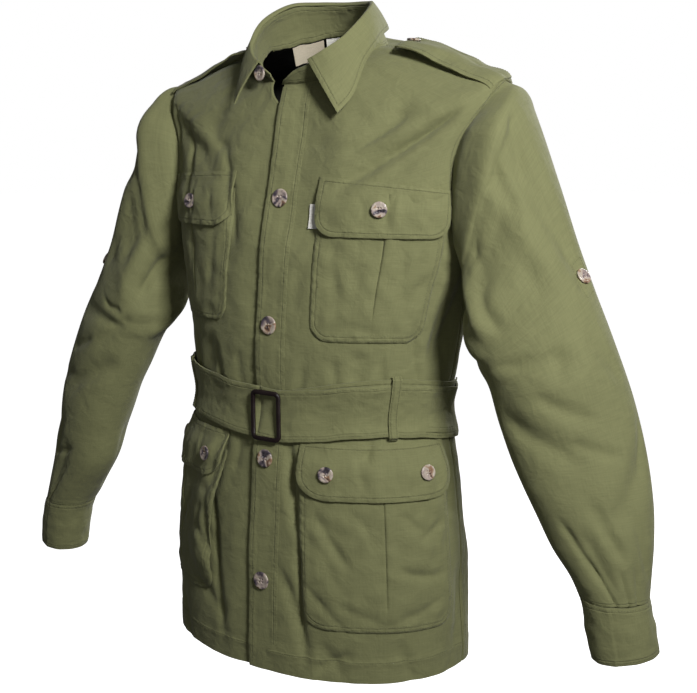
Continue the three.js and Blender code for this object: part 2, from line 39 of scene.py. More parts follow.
import bpy
import numpy as np
from mathutils import Vector

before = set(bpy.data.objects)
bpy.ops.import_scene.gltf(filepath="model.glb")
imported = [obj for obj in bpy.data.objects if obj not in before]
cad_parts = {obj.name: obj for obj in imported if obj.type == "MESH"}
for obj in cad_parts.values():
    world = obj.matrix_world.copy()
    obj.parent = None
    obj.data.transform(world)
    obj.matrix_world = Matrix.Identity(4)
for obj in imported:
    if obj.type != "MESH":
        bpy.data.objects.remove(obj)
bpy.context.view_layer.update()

MM = 0.001
TURN = 2.0 * math.pi
SIDE_NAMES = {1: "left", -1: "right"}

# Sizes in millimetres, as in the solids; DEGREE and SLEEVE_DEGREE are the lengths of one degree
# round the body and round a sleeve, and PLACE is the length of one place along a sleeve
WALL = 1.2
LAYER = 1.6
HEM = -690.0
NECK = -46.0
UNDERARM = -236.0
SHOULDER = -112.0
PLACKET_LEFT = -15.0
PLACKET_RIGHT = 22.0
BELT_WIDTH = 58.0
BELT_OUT = 4.2
BUTTON_HEIGHT = 3.0
SMALL_BUTTON = 8.5
STRAP_BUTTON = 7.5
DEGREE = 2.9
SLEEVE_DEGREE = 1.1
PLACE = 68.0

# Sewing: stitches' distance from an edge, lines of a doubled seam, depth of the turned hem and its
# stitched line, height of the facing at the foot, distance of cloth with no sewn edge near it
STITCH_IN = 5.0
SEAM_LINES = (2.0, 7.5)
HEM_TURN = 25.0
HEM_STITCH = 23.0
FACING_HEIGHT = 34.0
FAR_FROM_EDGE = 60.0
BAND_STITCH = 3.0
NARROW_STITCH = 1.6
STITCH_LIFT = 0.05

# How far a front runs on under the back, and how far the back stops short of the side, in degrees
LAP = 1.7
BACK_SHORT = 0.06

# Powers that fade the rise of the sides ahead and behind, waves summed for unevenness, and times a
# range is halved
FACING_AHEAD = 1.35
FACING_BACK = 1.6
PLANE_WAVES = 9
HALVINGS = 26

# Rings of the body: level, half width, front depth, back depth, middle, rise of the sides,
# rise of the back, power of the front, power of the back, shift to the side
RINGS = (
    (-728, 186, 129, 106, -17, 7, 7, 0.9, 1, 0),
    (-640, 185, 129, 106, -17, 2, 2, 0.9, 1, 0),
    (-560, 182, 127, 102, -17, 0, 0, 0.9, 1, 0),
    (-470, 173, 120, 92, -17, 0, 0, 0.9, 1, 0),
    (-436, 167, 116, 87, -17, 0, 0, 0.91, 1, 0),
    (-398, 159, 109, 81, -16, 0, 0, 0.92, 1, 0),
    (-362, 165, 114, 85, -14, 0, 0, 0.92, 1, 0),
    (-320, 170, 117, 92, -11, 0, 0, 0.93, 1, 0),
    (-262, 182, 115, 106, -8, 0, 0, 0.94, 0.98, 0),
    (-225, 193, 113, 114, -6, 4, 6, 0.95, 0.95, 0),
    (-190, 199, 110, 119, -4, 30, 36, 0.95, 0.95, 0),
    (-150, 204, 103, 116, -3, 58, 66, 0.97, 0.97, 0),
    (-112, 216, 94, 104, -2, 69, 84, 1, 1, 0),
    (-90, 178, 86, 92, -2, 59, 84, 1, 1, 0),
    (-68, 118, 78, 72, -2, 57, 76, 1, 1, -2),
    (-46, 74, 70, 55, -2, 42, 60, 1, 1, -6),
)

# Armhole: level, degrees from the side line to its edge in front, and behind
ARMHOLE = (
    (-236, 0, 0),
    (-230, 9, 8),
    (-221, 15, 13),
    (-208, 20, 17),
    (-192, 23, 20),
    (-173, 25, 22),
    (-153, 25, 22),
    (-136, 22, 19),
    (-123, 17, 14),
    (-115.5, 9, 8),
    (-112, 0, 0),
)

# Large folds of the body, as in the solids: angle and level at the start, angle and level at the
# end, width, depth, bow to the side
FOLDS = (
    (66, -119, 16, -136, 15, -7, 0),
    (52, -97, 20, -108, 13, -4, 0),
    (-64, -120, -24, -138, 15, -7, 0),
    (-44, -94, -16, -112, 13, -4, 0),
    (88, -240, 74, -350, 19, -8, 0),
    (-88, -240, -72, -350, 19, -8, 0),
    (38, -322, 34, -368, 14, -4, 0),
    (-34, -318, -30, -370, 14, -4, 0),
    (118, -290, 118, -376, 20, -7, 0),
    (150, -300, 148, -374, 18, -6, 0),
    (-120, -290, -118, -376, 20, -7, 0),
    (-150, -300, -150, -374, 18, -6, 0),
    (122, -425, 120, -560, 20, -8, 0),
    (152, -425, 154, -540, 18, -6, 0),
    (-124, -425, -122, -545, 20, -8, 0),
    (-154, -425, -152, -560, 18, -6, 0),
)

# Lesser creases of the body, in the same columns
CREASES = (
    # Chest
    (9, -58, 12, -235, 30, -7.5, 8),
    (-8, -74, -12, -200, 20, -3.5, -4),
    (64, -110, 16, -164, 8, -7.5, 4),
    (80, -104, 70, -150, 7, -3.5, 0),
    (50, -88, 18, -128, 6, -5, 3),
    (60, -134, 30, -168, 5, -2.4, 2),
    (64, -150, 67, -230, 7, -6, -4),
    (-62, -98, -54, -200, 7, -4.2, 3),
    (-47, -90, -39, -220, 6, -3.2, 3),
    (-24, -104, -14, -236, 5, -3.2, -2),
    (-36, -92, -20, -130, 8, -3.5, 3),
    (-66, -150, -66, -230, 7, -5, 4),
    (-22, -110, -30, -140, 6, -1.6, 2),
    (-14, -150, -22, -250, 10, -2.5, -5),
    (12, -226, 9, -300, 8, -2, 3),
    (60, -240, 52, -300, 9, -3, 3),
    # Gathers above the belt, and the dent under it
    (14, -338, 12, -382, 5, -2.2, 0),
    (26, -330, 29, -382, 6, -2.8, 2),
    (46, -326, 49, -382, 6, -2.6, 2),
    (58, -288, 67, -372, 7, -3.5, 3),
    (74, -262, 71, -340, 6, -3, 3),
    (-14, -330, -12, -382, 6, -2.4, 0),
    (-27, -322, -23, -380, 6, -2.6, 2),
    (-44, -322, -46, -382, 7, -2.8, 2),
    (-150, -394, -20, -394, 30, -5, 0),
    (40, -396, 140, -400, 30, -2.5, 0),
    # Skirt
    (8.5, -418, 13, -540, 4.5, -8, 2),
    (13, -520, 14.5, -650, 4, -7, 0),
    (5, -560, 17, -690, 6, -6, -5),
    (14, -575, 34, -640, 5, -2.4, 0),
    (20, -640, 32, -692, 7, -3, 0),
    (-10, -422, -13, -478, 5, -2.6, 0),
    (-17, -420, -22, -510, 6, -3.2, 2),
    (-29, -532, -18, -572, 5, -2.6, 2),
    (-32, -596, -12, -646, 8, -3.2, 4),
    (-50, -640, -38, -694, 8, -3, 0),
    (52, -640, 60, -694, 8, -2.6, 0),
    (87, -424, 84, -520, 7, -3.5, 2),
    (88, -560, 84, -680, 9, -3.5, -3),
    (-88, -424, -85, -520, 7, -3.5, 2),
    (-26, -470, -15, -690, 5, -5, -4),
    (36, -655, 18, -684, 6, -4, 3),
    (44, -420, 40, -445, 5, -3, 0),
    # Back
    (104, -250, 134, -322, 11, -7.0, 5),
    (-104, -246, -138, -326, 12, -7.0, -5),
    (168, -112, 184, -196, 14, -6.3, 6),
    (148, -150, 120, -196, 12, -5.6, 5),
    (-146, -146, -122, -204, 12, -6.3, -5),
    (178, -230, 170, -330, 12, -4.9, 4),
    (104, -430, 108, -560, 10, -6.3, 4),
    (136, -424, 131, -500, 8, -5.6, 0),
    (180, -424, 176, -590, 13, -7.7, 5),
    (-104, -430, -110, -540, 10, -6.3, 4),
    (-138, -424, -134, -520, 8, -5.6, 0),
    (-170, -430, -178, -500, 8, -4.2, 0),
    (120, -600, 132, -690, 12, -5.6, 0),
    (-140, -590, -128, -690, 12, -5.6, 0),
)

# Sleeves: place along, outer point, inner point, half depth, turn of the depth from straight ahead
SLEEVE_LEFT = (
    (0, 231, 4, -52, 197, -4, -247, 60, 4),
    (1, 249, 9, -88, 199, -22, -268, 64, 12),
    (2, 278, 10, -160, 203, -48, -301, 62, 25),
    (3, 305, 8, -231, 220, -66, -326, 58, 35),
    (4, 339, -5, -294, 242, -80, -350, 54, 35),
    (5, 373, -10, -373, 263, -84, -402, 47, 33),
    (6, 395, -20, -447, 288, -86, -452, 42, 31),
    (7, 402, -28, -505, 319, -84, -506, 37, 33),
    (8, 400, -30, -556, 349, -80, -554, 30, 40),
    (9, 406, -30, -585, 356, -79, -585, 29, 41),
    (10, 412, -30, -610, 362, -76, -617, 28, 39),
)
SLEEVE_RIGHT = (
    (0, 229, 2, -44, 197, -4, -248, 66, 4),
    (1, 247, 0, -84, 201, -22, -270, 67, 12),
    (2, 269, -2, -158, 205, -48, -304, 60, 25),
    (3, 289, -8, -230, 213, -66, -330, 54, 35),
    (4, 321, -14, -292, 232, -76, -352, 50, 35),
    (5, 360, -18, -373, 257, -80, -404, 47, 33),
    (6, 382, -24, -447, 278, -82, -454, 43, 31),
    (7, 395, -30, -515, 300, -82, -518, 38, 33),
    (8, 407, -34, -577, 348, -80, -577, 31, 40),
    (9, 416, -34, -609, 359, -79, -610, 30, 41),
    (10, 422, -34, -637, 365, -76, -642, 29, 39),
)
SLEEVE_COLUMNS = 132
CUFF_START = 8.0
ARMHOLE_MIDDLE = (200, 0, -145)
CUFF_WALL = 2.0

# Powers of a sleeve's section, outside at its head and inside its front, and the height of the roll
# beside the armhole's seam
HEAD_POWER = 0.84
FRONT_POWER = 0.5
SEAM_RISE = 9.0

# Folds of both sleeves, as in the solids: angle and place at the start, angle and place at the
# end, width, depth, bow to the side
SLEEVE_FOLDS = (
    (60, 0.4, 30, 3.4, 14, -8, 0),
    (100, 0.6, 75, 3, 13, -7, 0),
    (150, 3.2, 60, 4.2, 14, -5, 0),
    (170, 4.4, 80, 5.6, 14, -6, 0),
    (300, 3, 250, 5, 16, -6, 0),
    (20, 5.2, 80, 6.6, 14, -5, 0),
    (110, 6.4, 100, 7.8, 11, -4, 0),
    (220, 6, 240, 7.8, 13, -5, 0),
)
LEFT_CREASES = (
    # Head and upper arm
    (76, 0.05, 68, 1.7, 8, -4.5, 3),
    (106, 0.2, 100, 2.0, 8, -4.5, 3),
    (42, 0.1, 47, 1.4, 8, -3, 0),
    (90, 0.1, 86, 1.2, 5, 2, 0),
    (158, -0.1, 156, 2.0, 6, -7, 0),
    (136, 0.0, 127, 2.6, 13, 7, 0),
    (172, 0.9, 162, 3.3, 18, 6, 0),
    (114, 0.8, 106, 2.9, 8, -4, 4),
    (22, 2.95, 26, 3.5, 3, 1.2, 0),
    (42, 2.9, 40, 3.3, 3, -1.5, 0),
    # Elbow
    (122, 4.2, 66, 4.9, 7, -4, 5),
    (104, 5.0, 52, 5.45, 6, -3.2, 3),
    (64, 3.7, 28, 4.6, 8, -3.4, 0),
    (86, 3.5, 92, 4.3, 7, -2.4, 0),
    # Lower arm
    (94, 5.9, 72, 7.2, 8, -4, 3),
    (54, 6.1, 36, 7.6, 8, -3.4, 3),
    (132, 6.2, 112, 7.7, 6, -3.4, 0),
    (14, 4.9, 34, 6.0, 8, -3, 3),
    # Behind
    (206, 1.4, 242, 3.4, 12, -5.5, 5),
    (284, 2.4, 250, 4.1, 12, -5.5, 5),
    (328, 0.5, 318, 2.4, 10, -4, 0),
    (256, 4.9, 300, 6.1, 9, -4, 4),
    (310, 5.8, 300, 7.5, 9, -3.4, 0),
    # Gathered into the cuff
    (120, 6.9, 100, 8.3, 4, -2.4, 0),
    (84, 7.1, 82, 8.3, 4, -2.2, 0),
    (60, 7.0, 68, 8.3, 4, -2.2, 0),
    (20, 7.2, 24, 8.3, 4, -1.8, 0),
)
RIGHT_CREASES = (
    (76, 0.05, 62, 1.5, 8, -4, 3),
    (104, 0.2, 92, 2.1, 8, -4.5, 3),
    (150, -0.1, 150, 2.0, 10, -7, 0),
    (122, 0.2, 116, 2.6, 16, 3, 0),
    (172, 1.0, 164, 3.0, 16, 3, 0),
    (44, 0.3, 50, 1.2, 7, -2.6, 0),
    (130, 2.6, 96, 3.3, 8, -4, 4),
    (150, 2.4, 124, 4.6, 10, -4, 5),
    (60, 3.4, 24, 4.2, 8, -3.4, 0),
    (118, 4.2, 66, 4.8, 6, -3.6, 4),
    (100, 5.0, 56, 5.4, 6, -3, 3),
    (92, 5.9, 76, 7.1, 8, -3.6, 3),
    (130, 6.6, 70, 6.9, 5, -2.8, 2),
    (204, 1.6, 240, 3.2, 12, -5.5, 5),
    (290, 2.6, 252, 4.3, 12, -5.5, 5),
    (326, 0.6, 322, 2.6, 10, -4, 0),
    (262, 5.0, 300, 6.0, 9, -4, 4),
    (300, 6.0, 306, 7.6, 9, -3.4, 0),
    (120, 6.9, 100, 8.3, 4, -2.2, 0),
    (60, 7.0, 70, 8.3, 4, -2.0, 0),
)

# Collar: angle round the neck, top of the stand, lower edge of the leaf, or noughts where no leaf
# hangs
COLLAR = (
    (-11, -13, -76, -41, 0, 0, 0),
    (0, 0, -80, -33, 0, 0, 0),
    (20, 22, -81, -25, 67, -93, -77),
    (38, 39, -76, -15, 74, -74, -58),
    (60, 50, -58, -1, 73, -47, -24),
    (90, 56, -28, 23, 69, -10, 3),
    (120, 47, 4, 39, 56, 28, 16),
    (150, 26, 26, 43, 33, 57, 21),
    (180, -5, 34, 44, -5, 66, 23),
    (210, -36, 27, 45, -44, 57, 23),
    (240, -59, 4, 42, -71, 28, 17),
    (270, -70, -31, 23, -82, -12, 2),
    (300, -71, -52, -1, -88, -48, -25),
    (318, -60, -65, -16, -82, -70, -50),
    (330, -46, -72, -25, -73, -85, -66),
    (340, -31, -76, -34, 0, 0, 0),
)
COLLAR_WALL = 1.6
NECK_MIDDLE = (-5.0, -26.0)
ROLL_END = 0.16

# Belt: angle, height of its middle
BELT = (
    (-180, -398),
    (-120, -391),
    (-60, -387),
    (-8, -398.5),
    (6, -400),
    (30, -393),
    (52, -389),
    (75, -394),
    (92, -400),
    (130, -400),
    (180, -398),
)
BELT_LEVEL = -400.0

# Degrees between faces from which an edge is drawn sharp
SHARP_ANGLE = 50.0

# Slot, outer finish and inner finish of a sheet
CLOTH_LOOK = ("cloth", "cloth", "cloth")
# The body's panels take a near-black inner finish: painted shade for the dark hollow inside the jacket.
PAINTED_SHADE_LOOK = ("cloth", "cloth", "hollow")
NECK_LOOK = ("neck_label", "neck_label", "neck_label")
WHITE_LOOK = ("white_label", "white_label", "white_label")

# Least area of a cut as a share of its width times its length, and its least width in metres
LEAST_SHARE = 0.31
LEAST_WIDTH = 0.0101

# Surfaces and patches made so far, for what lies on them
SURFACES = {}
PATCHES = {}


def smooth(value):
    """Step from 0 to 1, level at both ends: 3 t squared less 2 t cubed, with t held within 0 and 1."""
    t = np.clip(value, 0.0, 1.0)
    return t * t * (3.0 - 2.0 * t)


def lerp(a, b, t):
    """Straight mix of a and b."""
    return a + (b - a) * t


def vec(x, y, z):
    """Points from three arrays of one shape."""
    return np.stack(np.broadcast_arrays(x, y, z), axis=-1).astype(float)


def unit(v):
    """Vectors over their own length."""
    return v / np.maximum(np.linalg.norm(v, axis=-1, keepdims=True), 1e-9)


def read(table, key, column):
    """Column of a table at a key: a cubic Hermite curve through the rows, whose slope at a row is the
    rise between the rows on its two sides over their distance."""
    rows = np.asarray(table, float)
    keys = rows[:, 0]
    values = rows[:, column]
    last = len(keys) - 1
    before = np.maximum(np.arange(last + 1) - 1, 0)
    after = np.minimum(np.arange(last + 1) + 1, last)
    slopes = (values[after] - values[before]) / (keys[after] - keys[before])
    k = np.clip(key, keys[0], keys[-1])
    i = np.clip(np.searchsorted(keys, k, side="left") - 1, 0, last - 1)
    h = keys[i + 1] - keys[i]
    s = (k - keys[i]) / h
    return (
        (1 + 2 * s) * (1 - s) ** 2 * values[i]
        + s * (1 - s) ** 2 * h * slopes[i]
        + s * s * (3 - 2 * s) * values[i + 1]
        + s * s * (s - 1) * h * slopes[i + 1]
    )


def spaced(*marks):
    """Numbers from the first mark to the last, with a number on each mark. A mark is (number, step),
    and the step is about how far apart the numbers after it stand."""
    parts = []
    for (start, step), (end, _) in zip(marks, marks[1:]):
        count = max(1, round(abs(end - start) / step))
        parts.append(np.linspace(start, end, count, endpoint=False))
    return np.concatenate(parts + [[marks[-1][0]]])


def folded(table, u, v, u_size, v_size, around=None):
    """Sum of soft folds. A fold runs from its start to its end, bowed sideways by a parabola, and
    adds its depth times a bell across it times a taper that fades both ends."""
    total = np.zeros(np.broadcast(u, v).shape)
    for u0, v0, u1, v1, width, depth, bow in table:
        du = (u1 - u0) * u_size
        dv = (v1 - v0) * v_size
        length = math.hypot(du, dv)
        off = u - u0
        if around:
            off = (off + around / 2 - (u1 - u0) / 2) % around - around / 2 + (u1 - u0) / 2
        pu = off * u_size
        pv = (v - v0) * v_size
        along = (pu * du + pv * dv) / length**2
        bend = bow * 4 * along * (1 - along)
        across = ((pu * dv - pv * du) / length - bend) / width
        taper = smooth(along / 0.3) * smooth((1 - along) / 0.3)
        total += depth * taper * np.exp(-across * across)
    return total


def uneven(u, v, size, seed):
    """Even waviness about one size long: the sum of nine plane waves with seeded directions, lengths
    and phases, over the root of their number."""
    draw = np.random.default_rng(seed)
    total = 0.0
    for _ in range(PLANE_WAVES):
        angle, phase = draw.uniform(0, TURN, 2)
        k = TURN / size * draw.uniform(0.7, 1.4)
        total = total + np.sin(k * (u * math.cos(angle) + v * math.sin(angle)) + phase)
    return total / math.sqrt(PLANE_WAVES)


def bell(distance, width):
    """Bell curve: 1 at no distance, falling with the square of the distance over the width."""
    return np.exp(-((distance / width) ** 2))


def signed_power(value, power):
    """Size of a value raised to a power, with the value's own sign."""
    return np.sign(value) * np.abs(value) ** power


def height_of(phi, level):
    """Height of the body at an angle and a level: the level plus the rise of the sides, less where it
    faces ahead or behind, plus the rise of the back."""
    k = np.cos(np.radians(phi))
    front = np.maximum(k, 0) ** FACING_AHEAD
    back = np.maximum(-k, 0) ** FACING_BACK
    return level + read(RINGS, level, 5) * (1 - front - back) + read(RINGS, level, 6) * back


def body(phi, level):
    """Smooth body at an angle from the centre front and a level: half width times sine to a power, and
    depth times cosine to a power, about the ring's middle; the sides and the back rise."""
    s = np.sin(np.radians(phi))
    k = np.cos(np.radians(phi))
    ahead = k > 0
    power = np.where(ahead, read(RINGS, level, 7), read(RINGS, level, 8))
    depth = np.where(ahead, read(RINGS, level, 2), read(RINGS, level, 3))
    x = read(RINGS, level, 9) + read(RINGS, level, 1) * signed_power(s, power)
    y = read(RINGS, level, 4) - depth * signed_power(k, power)
    return vec(x, y, height_of(phi, level))


def outward(phi, level):
    """Direction out of the body: the cross product of its small steps round and up."""
    degrees, height = 0.4, 1
    a = body(phi + degrees, level) - body(phi - degrees, level)
    b = body(phi, np.minimum(level + height, NECK)) - body(phi, level - height)
    return unit(np.cross(a, b))


def wrinkles(phi, level):
    """Large folds, lesser creases and a little unevenness of the body."""
    creases = bpy.context.scene.jacket_cloth.creases
    round_ = phi * DEGREE
    fine = 0.55 * uneven(round_, level, 75, 3) + 0.22 * uneven(round_, level, 26, 4)
    lesser = folded(CREASES, phi, level, DEGREE, 1.0)
    return folded(FOLDS, phi, level, DEGREE, 1.0) + creases * (lesser + fine)


def on(phi, level, out=0.0):
    """Cloth of the body, moved out: the body plus its folds along the direction out."""
    shift = np.asarray(out + wrinkles(phi, level))
    return body(phi, level) + outward(phi, level) * shift[..., None]


def angle_of(x, level):
    """Angle at which the front of the body has a given x: the inverse of its sine to a power."""
    power = read(RINGS, level, 7)
    share = (x - read(RINGS, level, 9)) / read(RINGS, level, 1)
    s = np.sign(share) * np.clip(np.abs(share), 0, 1) ** (1 / power)
    return np.degrees(np.arcsin(s))


def level_of(phi, z):
    """Level at which the body has a given height at an angle, by halving the range."""
    phi, z = np.broadcast_arrays(np.asarray(phi, float), np.asarray(z, float))
    low = np.full(phi.shape, float(RINGS[0][0]))
    high = np.full(phi.shape, NECK)
    for _ in range(HALVINGS):
        mid = (low + high) / 2
        under = height_of(phi, mid) < z
        low = np.where(under, mid, low)
        high = np.where(under, high, mid)
    return (low + high) / 2


def phi_at(x, z):
    """Angle of the front at an x and a height."""
    return angle_of(x, level_of(angle_of(x, z), z))


def plain_at(phi, z, out):
    """Body without folds at an angle and a height, moved out."""
    level = level_of(phi, z)
    return body(phi, level) + outward(phi, level) * np.asarray(out)[..., None]


def out_of_waist(phi):
    """Direction out of the body at the belt."""
    return outward(phi, np.full(phi.shape, BELT_LEVEL))


def notch(level, column):
    """Degrees from the side line to the armhole's edge, nothing above and below it."""
    inside = (level > UNDERARM) & (level < SHOULDER)
    return np.where(inside, np.maximum(read(ARMHOLE, level, column), 0), 0.0)


def arc(points, axis):
    """Length along one way of a grid, from 0 at its start."""
    steps = np.linalg.norm(np.diff(points, axis=axis), axis=-1)
    pad = [(0, 0), (0, 0)]
    pad[axis] = (1, 0)
    return np.pad(np.cumsum(steps, axis=axis), pad)


def from_edges(points, sides):
    """Distance to the nearest of the named sides of a grid, measured along its rows and columns."""
    found = np.full(points.shape[:2], FAR_FROM_EDGE)
    across = arc(points, 1)
    along = arc(points, 0)
    if "first" in sides:
        found = np.minimum(found, across)
    if "last" in sides:
        found = np.minimum(found, across[:, -1:] - across)
    if "low" in sides:
        found = np.minimum(found, along)
    if "high" in sides:
        found = np.minimum(found, along[-1:] - along)
    return found


class Surface:
    """Grid of cloth: its points, the directions out of it, its thickness, and whether its columns
    close into a ring."""

    def __init__(self, points, hint, wall=WALL, closed=False):
        self.points = points
        self.wall = wall
        self.closed = closed
        if closed:
            across = np.roll(points, -1, 1) - np.roll(points, 1, 1)
        else:
            across = np.gradient(points, axis=1)
        normal = unit(np.cross(across, np.gradient(points, axis=0)))
        self.turned = np.sum(normal * hint) < 0
        self.out = -normal if self.turned else normal

    def at(self, i, j, lift=0.0):
        """Point of the outer face at a row and column that may lie between grid lines, by straight
        mixing, moved out by a lift, with its direction out."""
        rows, columns = self.points.shape[:2]
        i = np.clip(i, 0, rows - 1.001)
        j = np.mod(j, columns) if self.closed else np.clip(j, 0, columns - 1.001)
        i0 = np.floor(i).astype(int)
        j0 = np.floor(j).astype(int)
        j1 = (j0 + 1) % columns
        s = (i - i0)[..., None]
        t = (j - j0)[..., None]

        def mixed(grid):
            low = lerp(grid[i0, j0], grid[i0, j1], t)
            high = lerp(grid[i0 + 1, j0], grid[i0 + 1, j1], t)
            return lerp(low, high, s)

        out = unit(mixed(self.out))
        return mixed(self.points) + out * (self.wall / 2 + lift), out


def fill(name, vertices, faces, smooth_faces=True):
    """Mesh from points in millimetres and arrays of faces, each array with one number of corners."""
    mesh = bpy.data.meshes.new(name)
    corners = np.concatenate([f.reshape(-1) for f in faces]).astype(np.int32)
    sizes = np.concatenate([np.full(len(f), f.shape[1]) for f in faces])
    mesh.vertices.add(len(vertices))
    mesh.vertices.foreach_set("co", (vertices * MM).astype(np.float32).ravel())
    mesh.loops.add(len(corners))
    mesh.loops.foreach_set("vertex_index", corners)
    mesh.polygons.add(len(sizes))
    starts = np.concatenate([[0], np.cumsum(sizes)[:-1]]).astype(np.int32)
    mesh.polygons.foreach_set("loop_start", starts)
    mesh.polygons.foreach_set("use_smooth", np.full(len(sizes), smooth_faces))
    mesh.update(calc_edges=True)
    return mesh


def place(mesh, slot, nodes, *materials):
    """Object of a finished mesh: it rides on the body and stands for its solids. The slot is not used."""
    piece = bpy.data.objects.new(mesh.name, mesh)
    bpy.context.scene.collection.objects.link(piece)
    for material in materials:
        mesh.materials.append(material)
    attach(piece, "root")
    if nodes:
        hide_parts(*nodes)
    return piece


def wall_mesh(name, surface, edge):
    """Closed wall round a surface: its points moved half the thickness out and in, joined round the
    rim. The map holds lengths along the cloth in metres, and edge the distance to a sewn edge."""
    points = surface.points
    rows, columns = points.shape[:2]
    half = surface.out * surface.wall / 2
    vertices = np.concatenate([(points + half).reshape(-1, 3), (points - half).reshape(-1, 3)])
    grid = np.arange(rows * columns).reshape(rows, columns)
    if surface.closed:
        grid = np.concatenate([grid, grid[:, :1]], axis=1)
    wide = grid.shape[1]
    ids = np.arange(rows * wide).reshape(rows, wide)
    a, b, c, d = (x.reshape(-1) for x in (ids[:-1, :-1], ids[:-1, 1:], ids[1:, 1:], ids[1:, :-1]))
    outer = np.stack([a, b, c, d], 1)
    shell = [(outer, (0, 0, 0, 0), 0), (outer[:, ::-1], (1, 1, 1, 1), 1)]
    rims = [(ids[0, 1:], ids[0, :-1]), (ids[-1, :-1], ids[-1, 1:])]
    if not surface.closed:
        rims += [(ids[:-1, 0], ids[1:, 0]), (ids[1:, -1], ids[:-1, -1])]
    for p, q in rims:
        shell.append((np.stack([p, q, q, p], 1), (0, 0, 1, 1), 0))
    faces = np.concatenate([s[0] for s in shell])
    layers = np.concatenate([np.broadcast_to(s[1], s[0].shape) for s in shell])
    kinds = np.concatenate([np.full(len(s[0]), s[2]) for s in shell])
    if surface.turned:
        faces = faces[:, ::-1]
        layers = layers[:, ::-1]
    mesh = fill(name, vertices, [grid.reshape(-1)[faces] + layers * rows * columns])
    whole = np.concatenate([points, points[:, :1]], axis=1) if surface.closed else points
    middle_row = arc(whole, 1)[rows // 2]
    middle_column = arc(whole, 0)[:, columns // 2]
    uv = np.stack(np.meshgrid(middle_row, middle_column), axis=-1).reshape(-1, 2) * MM
    mesh.uv_layers.new(name="cloth").data.foreach_set("uv", uv[faces].astype(np.float32).ravel())
    mesh.polygons.foreach_set("material_index", kinds.astype(np.int32))
    distance = mesh.attributes.new("edge", "FLOAT", "POINT")
    distance.data.foreach_set("value", np.tile(edge.reshape(-1), 2).astype(np.float32))
    mesh.set_sharp_from_angle(angle=math.radians(SHARP_ANGLE))
    return mesh


def cut_size(surface):
    """Flat width, length and area of a piece's cut, in metres: its longest row and column, and the
    sum of its grid's cells, each half the length of the cross product of its diagonals."""
    points = surface.points * MM
    if surface.closed:
        points = np.concatenate([points, points[:, :1]], axis=1)
    wide = max(arc(points, 1).max(), LEAST_WIDTH)
    long_ = max(arc(points, 0).max(), LEAST_WIDTH)
    diagonals = np.cross(points[1:, 1:] - points[:-1, :-1], points[1:, :-1] - points[:-1, 1:])
    cells = np.linalg.norm(diagonals, axis=-1).sum() / 2
    least = LEAST_SHARE * wide * long_
    return (float(wide), float(long_)), float(min(max(cells, least), wide * long_))


def sew(name, surface, nodes, edge=None, look=CLOTH_LOOK):
    """Piece of cloth made from a surface, kept for the stitching and the buttons that lie on it.
    look names its slot, its outer finish and its inner one."""
    slot, outside, inside = look
    SURFACES[name] = surface
    if edge is None:
        edge = np.full(surface.points.shape[:2], FAR_FROM_EDGE)
    piece = place(wall_mesh(name, surface, edge), slot, nodes, finish(outside), finish(inside))
    flat, area = cut_size(surface)
    return piece


FINISHES = {}


def finish(name):
    """Material of a finish, made the first time it is asked for."""
    if name not in FINISHES:
        FINISHES[name] = FINISH_MAKERS[name]()
    return FINISHES[name]


def start_material(name):
    """New material with its node tree and its shader."""
    material = bpy.data.materials.new(name)
    material.use_nodes = True
    return material, material.node_tree, material.node_tree.nodes["Principled BSDF"]


def alpha(colour):
    """Opaque colour of a colour property."""
    return tuple(colour) + (1.0,)


def put(tree, socket, value):
    """Sets a socket to a number or colour, or joins it to another node's output."""
    if isinstance(value, bpy.types.NodeSocket):
        tree.links.new(value, socket)
    else:
        socket.default_value = value


def calc(tree, operation, *values, clamp=False):
    """Math node."""
    made = tree.nodes.new("ShaderNodeMath")
    made.operation = operation
    made.use_clamp = clamp
    for socket, value in zip(made.inputs, values):
        put(tree, socket, value)
    return made.outputs[0]


def ranged(tree, value, low, high, to_low, to_high):
    """Smooth step of a value from one range to another."""
    made = tree.nodes.new("ShaderNodeMapRange")
    made.interpolation_type = "SMOOTHSTEP"
    for socket, item in zip(made.inputs, (value, low, high, to_low, to_high)):
        put(tree, socket, item)
    return made.outputs[0]


def scaled(tree, vector, scale):
    """Coordinates stretched by a scale along each axis."""
    made = tree.nodes.new("ShaderNodeMapping")
    put(tree, made.inputs["Vector"], vector)
    put(tree, made.inputs["Scale"], scale)
    return made.outputs[0]


def noise(tree, vector, scale=1.0, detail=2.0, roughness=0.5, distortion=0.0):
    """Noise from 0 to 1 over some coordinates."""
    made = tree.nodes.new("ShaderNodeTexNoise")
    put(tree, made.inputs["Vector"], vector)
    put(tree, made.inputs["Scale"], scale)
    put(tree, made.inputs["Detail"], detail)
    put(tree, made.inputs["Roughness"], roughness)
    put(tree, made.inputs["Distortion"], distortion)
    return made.outputs[0]


def waves(tree, vector, scale, direction):
    """Bands across one axis, from 0 to 1."""
    made = tree.nodes.new("ShaderNodeTexWave")
    made.bands_direction = direction
    put(tree, made.inputs["Vector"], vector)
    put(tree, made.inputs["Scale"], scale)
    put(tree, made.inputs["Distortion"], 0.4)
    return made.outputs["Fac"]


def bumped(tree, shader, height, distance=MM):
    """Bump of the shader from a height in units of the distance."""
    made = tree.nodes.new("ShaderNodeBump")
    put(tree, made.inputs["Height"], height)
    put(tree, made.inputs["Distance"], distance)
    put(tree, made.inputs["Strength"], 1.0)
    tree.links.new(made.outputs[0], shader.inputs["Normal"])


def tinted(tree, colour, factor):
    """Colour times a grey factor."""
    made = tree.nodes.new("ShaderNodeMix")
    made.data_type = "RGBA"
    made.blend_type = "MULTIPLY"
    put(tree, made.inputs[0], 1.0)
    put(tree, made.inputs[6], colour)
    put(tree, made.inputs[7], factor)
    return made.outputs[2]


